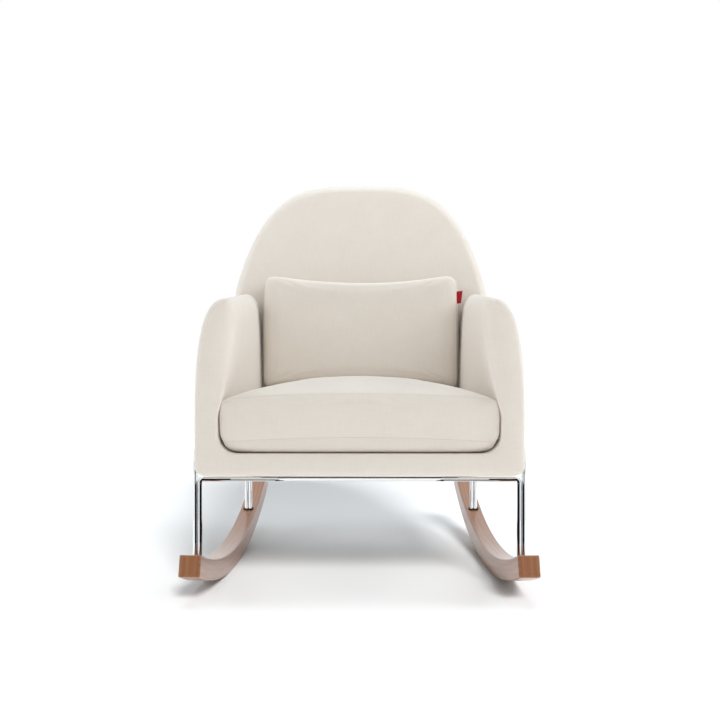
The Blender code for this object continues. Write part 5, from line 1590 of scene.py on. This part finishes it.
class CHAIR_OT_stage(bpy.types.Operator):
    """Pale floor, soft studio light and the camera"""

    bl_idname = "chair.stage"
    bl_label = "Stage"

    def execute(self, context):
        scene = context.scene
        scene.view_settings.view_transform = "Standard"
        self.make_floor(scene)
        self.make_world(scene)
        self.make_boards(scene)
        self.make_lamps(scene)
        lens = bpy.data.cameras.new("camera")
        lens.lens = CAMERA_LENS
        lens.sensor_width = CAMERA_SENSOR
        camera = bpy.data.objects.new("camera", lens)
        camera.location = CAMERA_PLACE
        camera.rotation_euler = CAMERA_TURN
        scene.collection.objects.link(camera)
        scene.camera = camera
        return {"FINISHED"}

    def bare_material(self, name):
        """Material whose tree is empty, and the tree."""
        material, tree, _ = new_material(name)
        tree.nodes.clear()
        return material, tree

    def seen(self, tree):
        """One where a camera, glossy or transmission ray looks."""
        rays = add(tree, "ShaderNodeLightPath").outputs
        both = calc(tree, "MAXIMUM", rays["Is Camera Ray"], rays["Is Glossy Ray"])
        return calc(tree, "MAXIMUM", both, rays["Is Transmission Ray"])

    def make_floor(self, scene):
        """White floor that glows a little to the eye, so that only the shadow shows on it."""
        mesh = bpy.data.meshes.new("studio_floor")
        size = FLOOR_HALF_SIZE
        corners = [(-size, -size, 0), (size, -size, 0), (size, size, 0), (-size, size, 0)]
        mesh.from_pydata(corners, [], [(0, 1, 2, 3)])
        floor = bpy.data.objects.new("studio_floor", mesh)
        floor.location.z = -FLOOR_DROP
        scene.collection.objects.link(floor)
        material, tree = self.bare_material("studio_floor")
        seen = self.seen(tree)
        colour = mix_colour(tree, seen, FLOOR_LIT_COLOUR, FLOOR_SEEN_COLOUR)
        matt = add(tree, "ShaderNodeBsdfDiffuse", {"Color": colour}).outputs[0]
        source = add(tree, "ShaderNodeTexCoord").outputs["Object"]
        away = add(tree, "ShaderNodeVectorMath", {0: source}, operation="LENGTH").outputs["Value"]
        far = ramp(tree, away, FLOOR_GLOW_FROM, FLOOR_GLOW_TO)
        level = calc(tree, "MULTIPLY_ADD", far, FLOOR_FAR_GLOW, FLOOR_NEAR_GLOW)
        level = calc(tree, "MULTIPLY", seen, level)
        glow = add(tree, "ShaderNodeEmission", {"Strength": level}).outputs[0]
        total = add(tree, "ShaderNodeAddShader", {0: matt, 1: glow}).outputs[0]
        add(tree, "ShaderNodeOutputMaterial", {"Surface": total})
        mesh.materials.append(material)

    def make_world(self, scene):
        """Even surround that gives a soft light, plain white to the eye and in reflections."""
        world = bpy.data.worlds.new("studio")
        scene.world = world
        world.use_nodes = True
        tree = world.node_tree
        tree.nodes.clear()
        white = add(tree, "ShaderNodeBackground", {"Color": (1, 1, 1, 1), "Strength": 1.0}).outputs[0]
        values = {"Color": WORLD_COLOUR, "Strength": WORLD_LIGHT}
        light = add(tree, "ShaderNodeBackground", values).outputs[0]
        mixed = add(tree, "ShaderNodeMixShader", {0: self.seen(tree), 1: light, 2: white}).outputs[0]
        add(tree, "ShaderNodeOutputWorld", {"Surface": mixed})

    def make_boards(self, scene):
        """Black boards that only polished surfaces see.  Before each front leg stands a stepped
        board with a return along its inner edge, and two upright strips stand out to the side."""
        material, tree = self.bare_material("black_flag")
        black = add(tree, "ShaderNodeEmission", {"Color": BOARD_COLOUR}).outputs[0]
        add(tree, "ShaderNodeOutputMaterial", {"Surface": black})
        for label, side in SIDES:
            corners = [(side * x, BOARD_Y, z) for x, z in BOARD_OUTLINE]
            corners += [(side * x, BOARD_RETURN_Y, z) for x, z in (BOARD_OUTLINE[0], BOARD_OUTLINE[-1])]
            boards = [(0, 1, 2, 3, 4, 5), (0, 5, 7, 6)]
            for strip in STRIPS:
                first = len(corners)
                corners += [(side * x, y, z) for z in (0.0, STRIP_HEIGHT) for x, y in strip]
                boards.append((first, first + 1, first + 3, first + 2))
            mesh = bpy.data.meshes.new("flag")
            mesh.from_pydata(corners, [], boards)
            mesh.materials.append(material)
            board = bpy.data.objects.new(f"flag_{label}", mesh)
            board.visible_camera = False
            board.visible_diffuse = False
            board.visible_transmission = False
            board.visible_shadow = False
            scene.collection.objects.link(board)

    def make_lamps(self, scene):
        """Large soft boxes overhead, high on either side and in front, of which reflections show
        only the overhead one, and a sun that lights nothing but the floor."""
        for name, (spot, target, size, power, colour) in LAMPS.items():
            data = bpy.data.lights.new(name, "AREA")
            data.shape = "SQUARE"
            data.size = size
            data.energy = power
            data.color = colour
            lamp = bpy.data.objects.new(name, data)
            lamp.visible_glossy = name == "overhead"
            lamp.location = spot
            way = np.array(target) - np.array(spot)
            turn = math.atan2(way[0], way[1])
            tilt = math.atan2(math.hypot(way[0], way[1]), -way[2])
            lamp.rotation_euler = (tilt, 0.0, -turn)
            scene.collection.objects.link(lamp)
        data = bpy.data.lights.new("floor_key", "SUN")
        data.energy = SUN_POWER
        data.angle = SUN_ANGLE
        sun = bpy.data.objects.new("floor_key", data)
        sun.visible_glossy = False
        sun.rotation_euler = SUN_TURN
        scene.collection.objects.link(sun)
        lit = bpy.data.collections.new("floor_only")
        lit.objects.link(bpy.data.objects["studio_floor"])
        sun.light_linking.receiver_collection = lit


class CHAIR_PT_panel(bpy.types.Panel):
    """Lists the pieces with their sizes and colours"""

    bl_idname = "CHAIR_PT_panel"
    bl_label = "Rocking chair"
    bl_space_type = "VIEW_3D"
    bl_region_type = "UI"
    bl_category = "Rocking chair"

    def draw(self, context):
        for step in STEPS:
            self.layout.operator(step.bl_idname)
        for group in (context.scene.chair_sizes, context.scene.chair_colours):
            box = self.layout.box()
            for key in group.__annotations__:
                box.prop(group, key)


STEPS = (CHAIR_OT_rockers, CHAIR_OT_rods, CHAIR_OT_collars, CHAIR_OT_tub, CHAIR_OT_back,
         CHAIR_OT_cushion, CHAIR_OT_pillow, CHAIR_OT_deck, CHAIR_OT_frame, CHAIR_OT_stage)
CLASSES = (ChairSizes, ChairColours, *STEPS, CHAIR_PT_panel)


def register():
    """Register the classes and hang the settings on the scene."""
    for kind in CLASSES:
        bpy.utils.register_class(kind)
    bpy.types.Scene.chair_sizes = PointerProperty(type=ChairSizes)
    bpy.types.Scene.chair_colours = PointerProperty(type=ChairColours)


def unregister():
    """Take the settings and the classes away again."""
    del bpy.types.Scene.chair_colours
    del bpy.types.Scene.chair_sizes
    for kind in reversed(CLASSES):
        bpy.utils.unregister_class(kind)


def main():
    """Make every piece in order."""
    register()
    bpy.ops.chair.rockers()
    bpy.ops.chair.rods()
    bpy.ops.chair.collars()
    bpy.ops.chair.tub()
    bpy.ops.chair.back()
    bpy.ops.chair.cushion()
    bpy.ops.chair.pillow()
    bpy.ops.chair.deck()
    bpy.ops.chair.frame()
    bpy.ops.chair.stage()


if __name__ == "__main__":
    main()
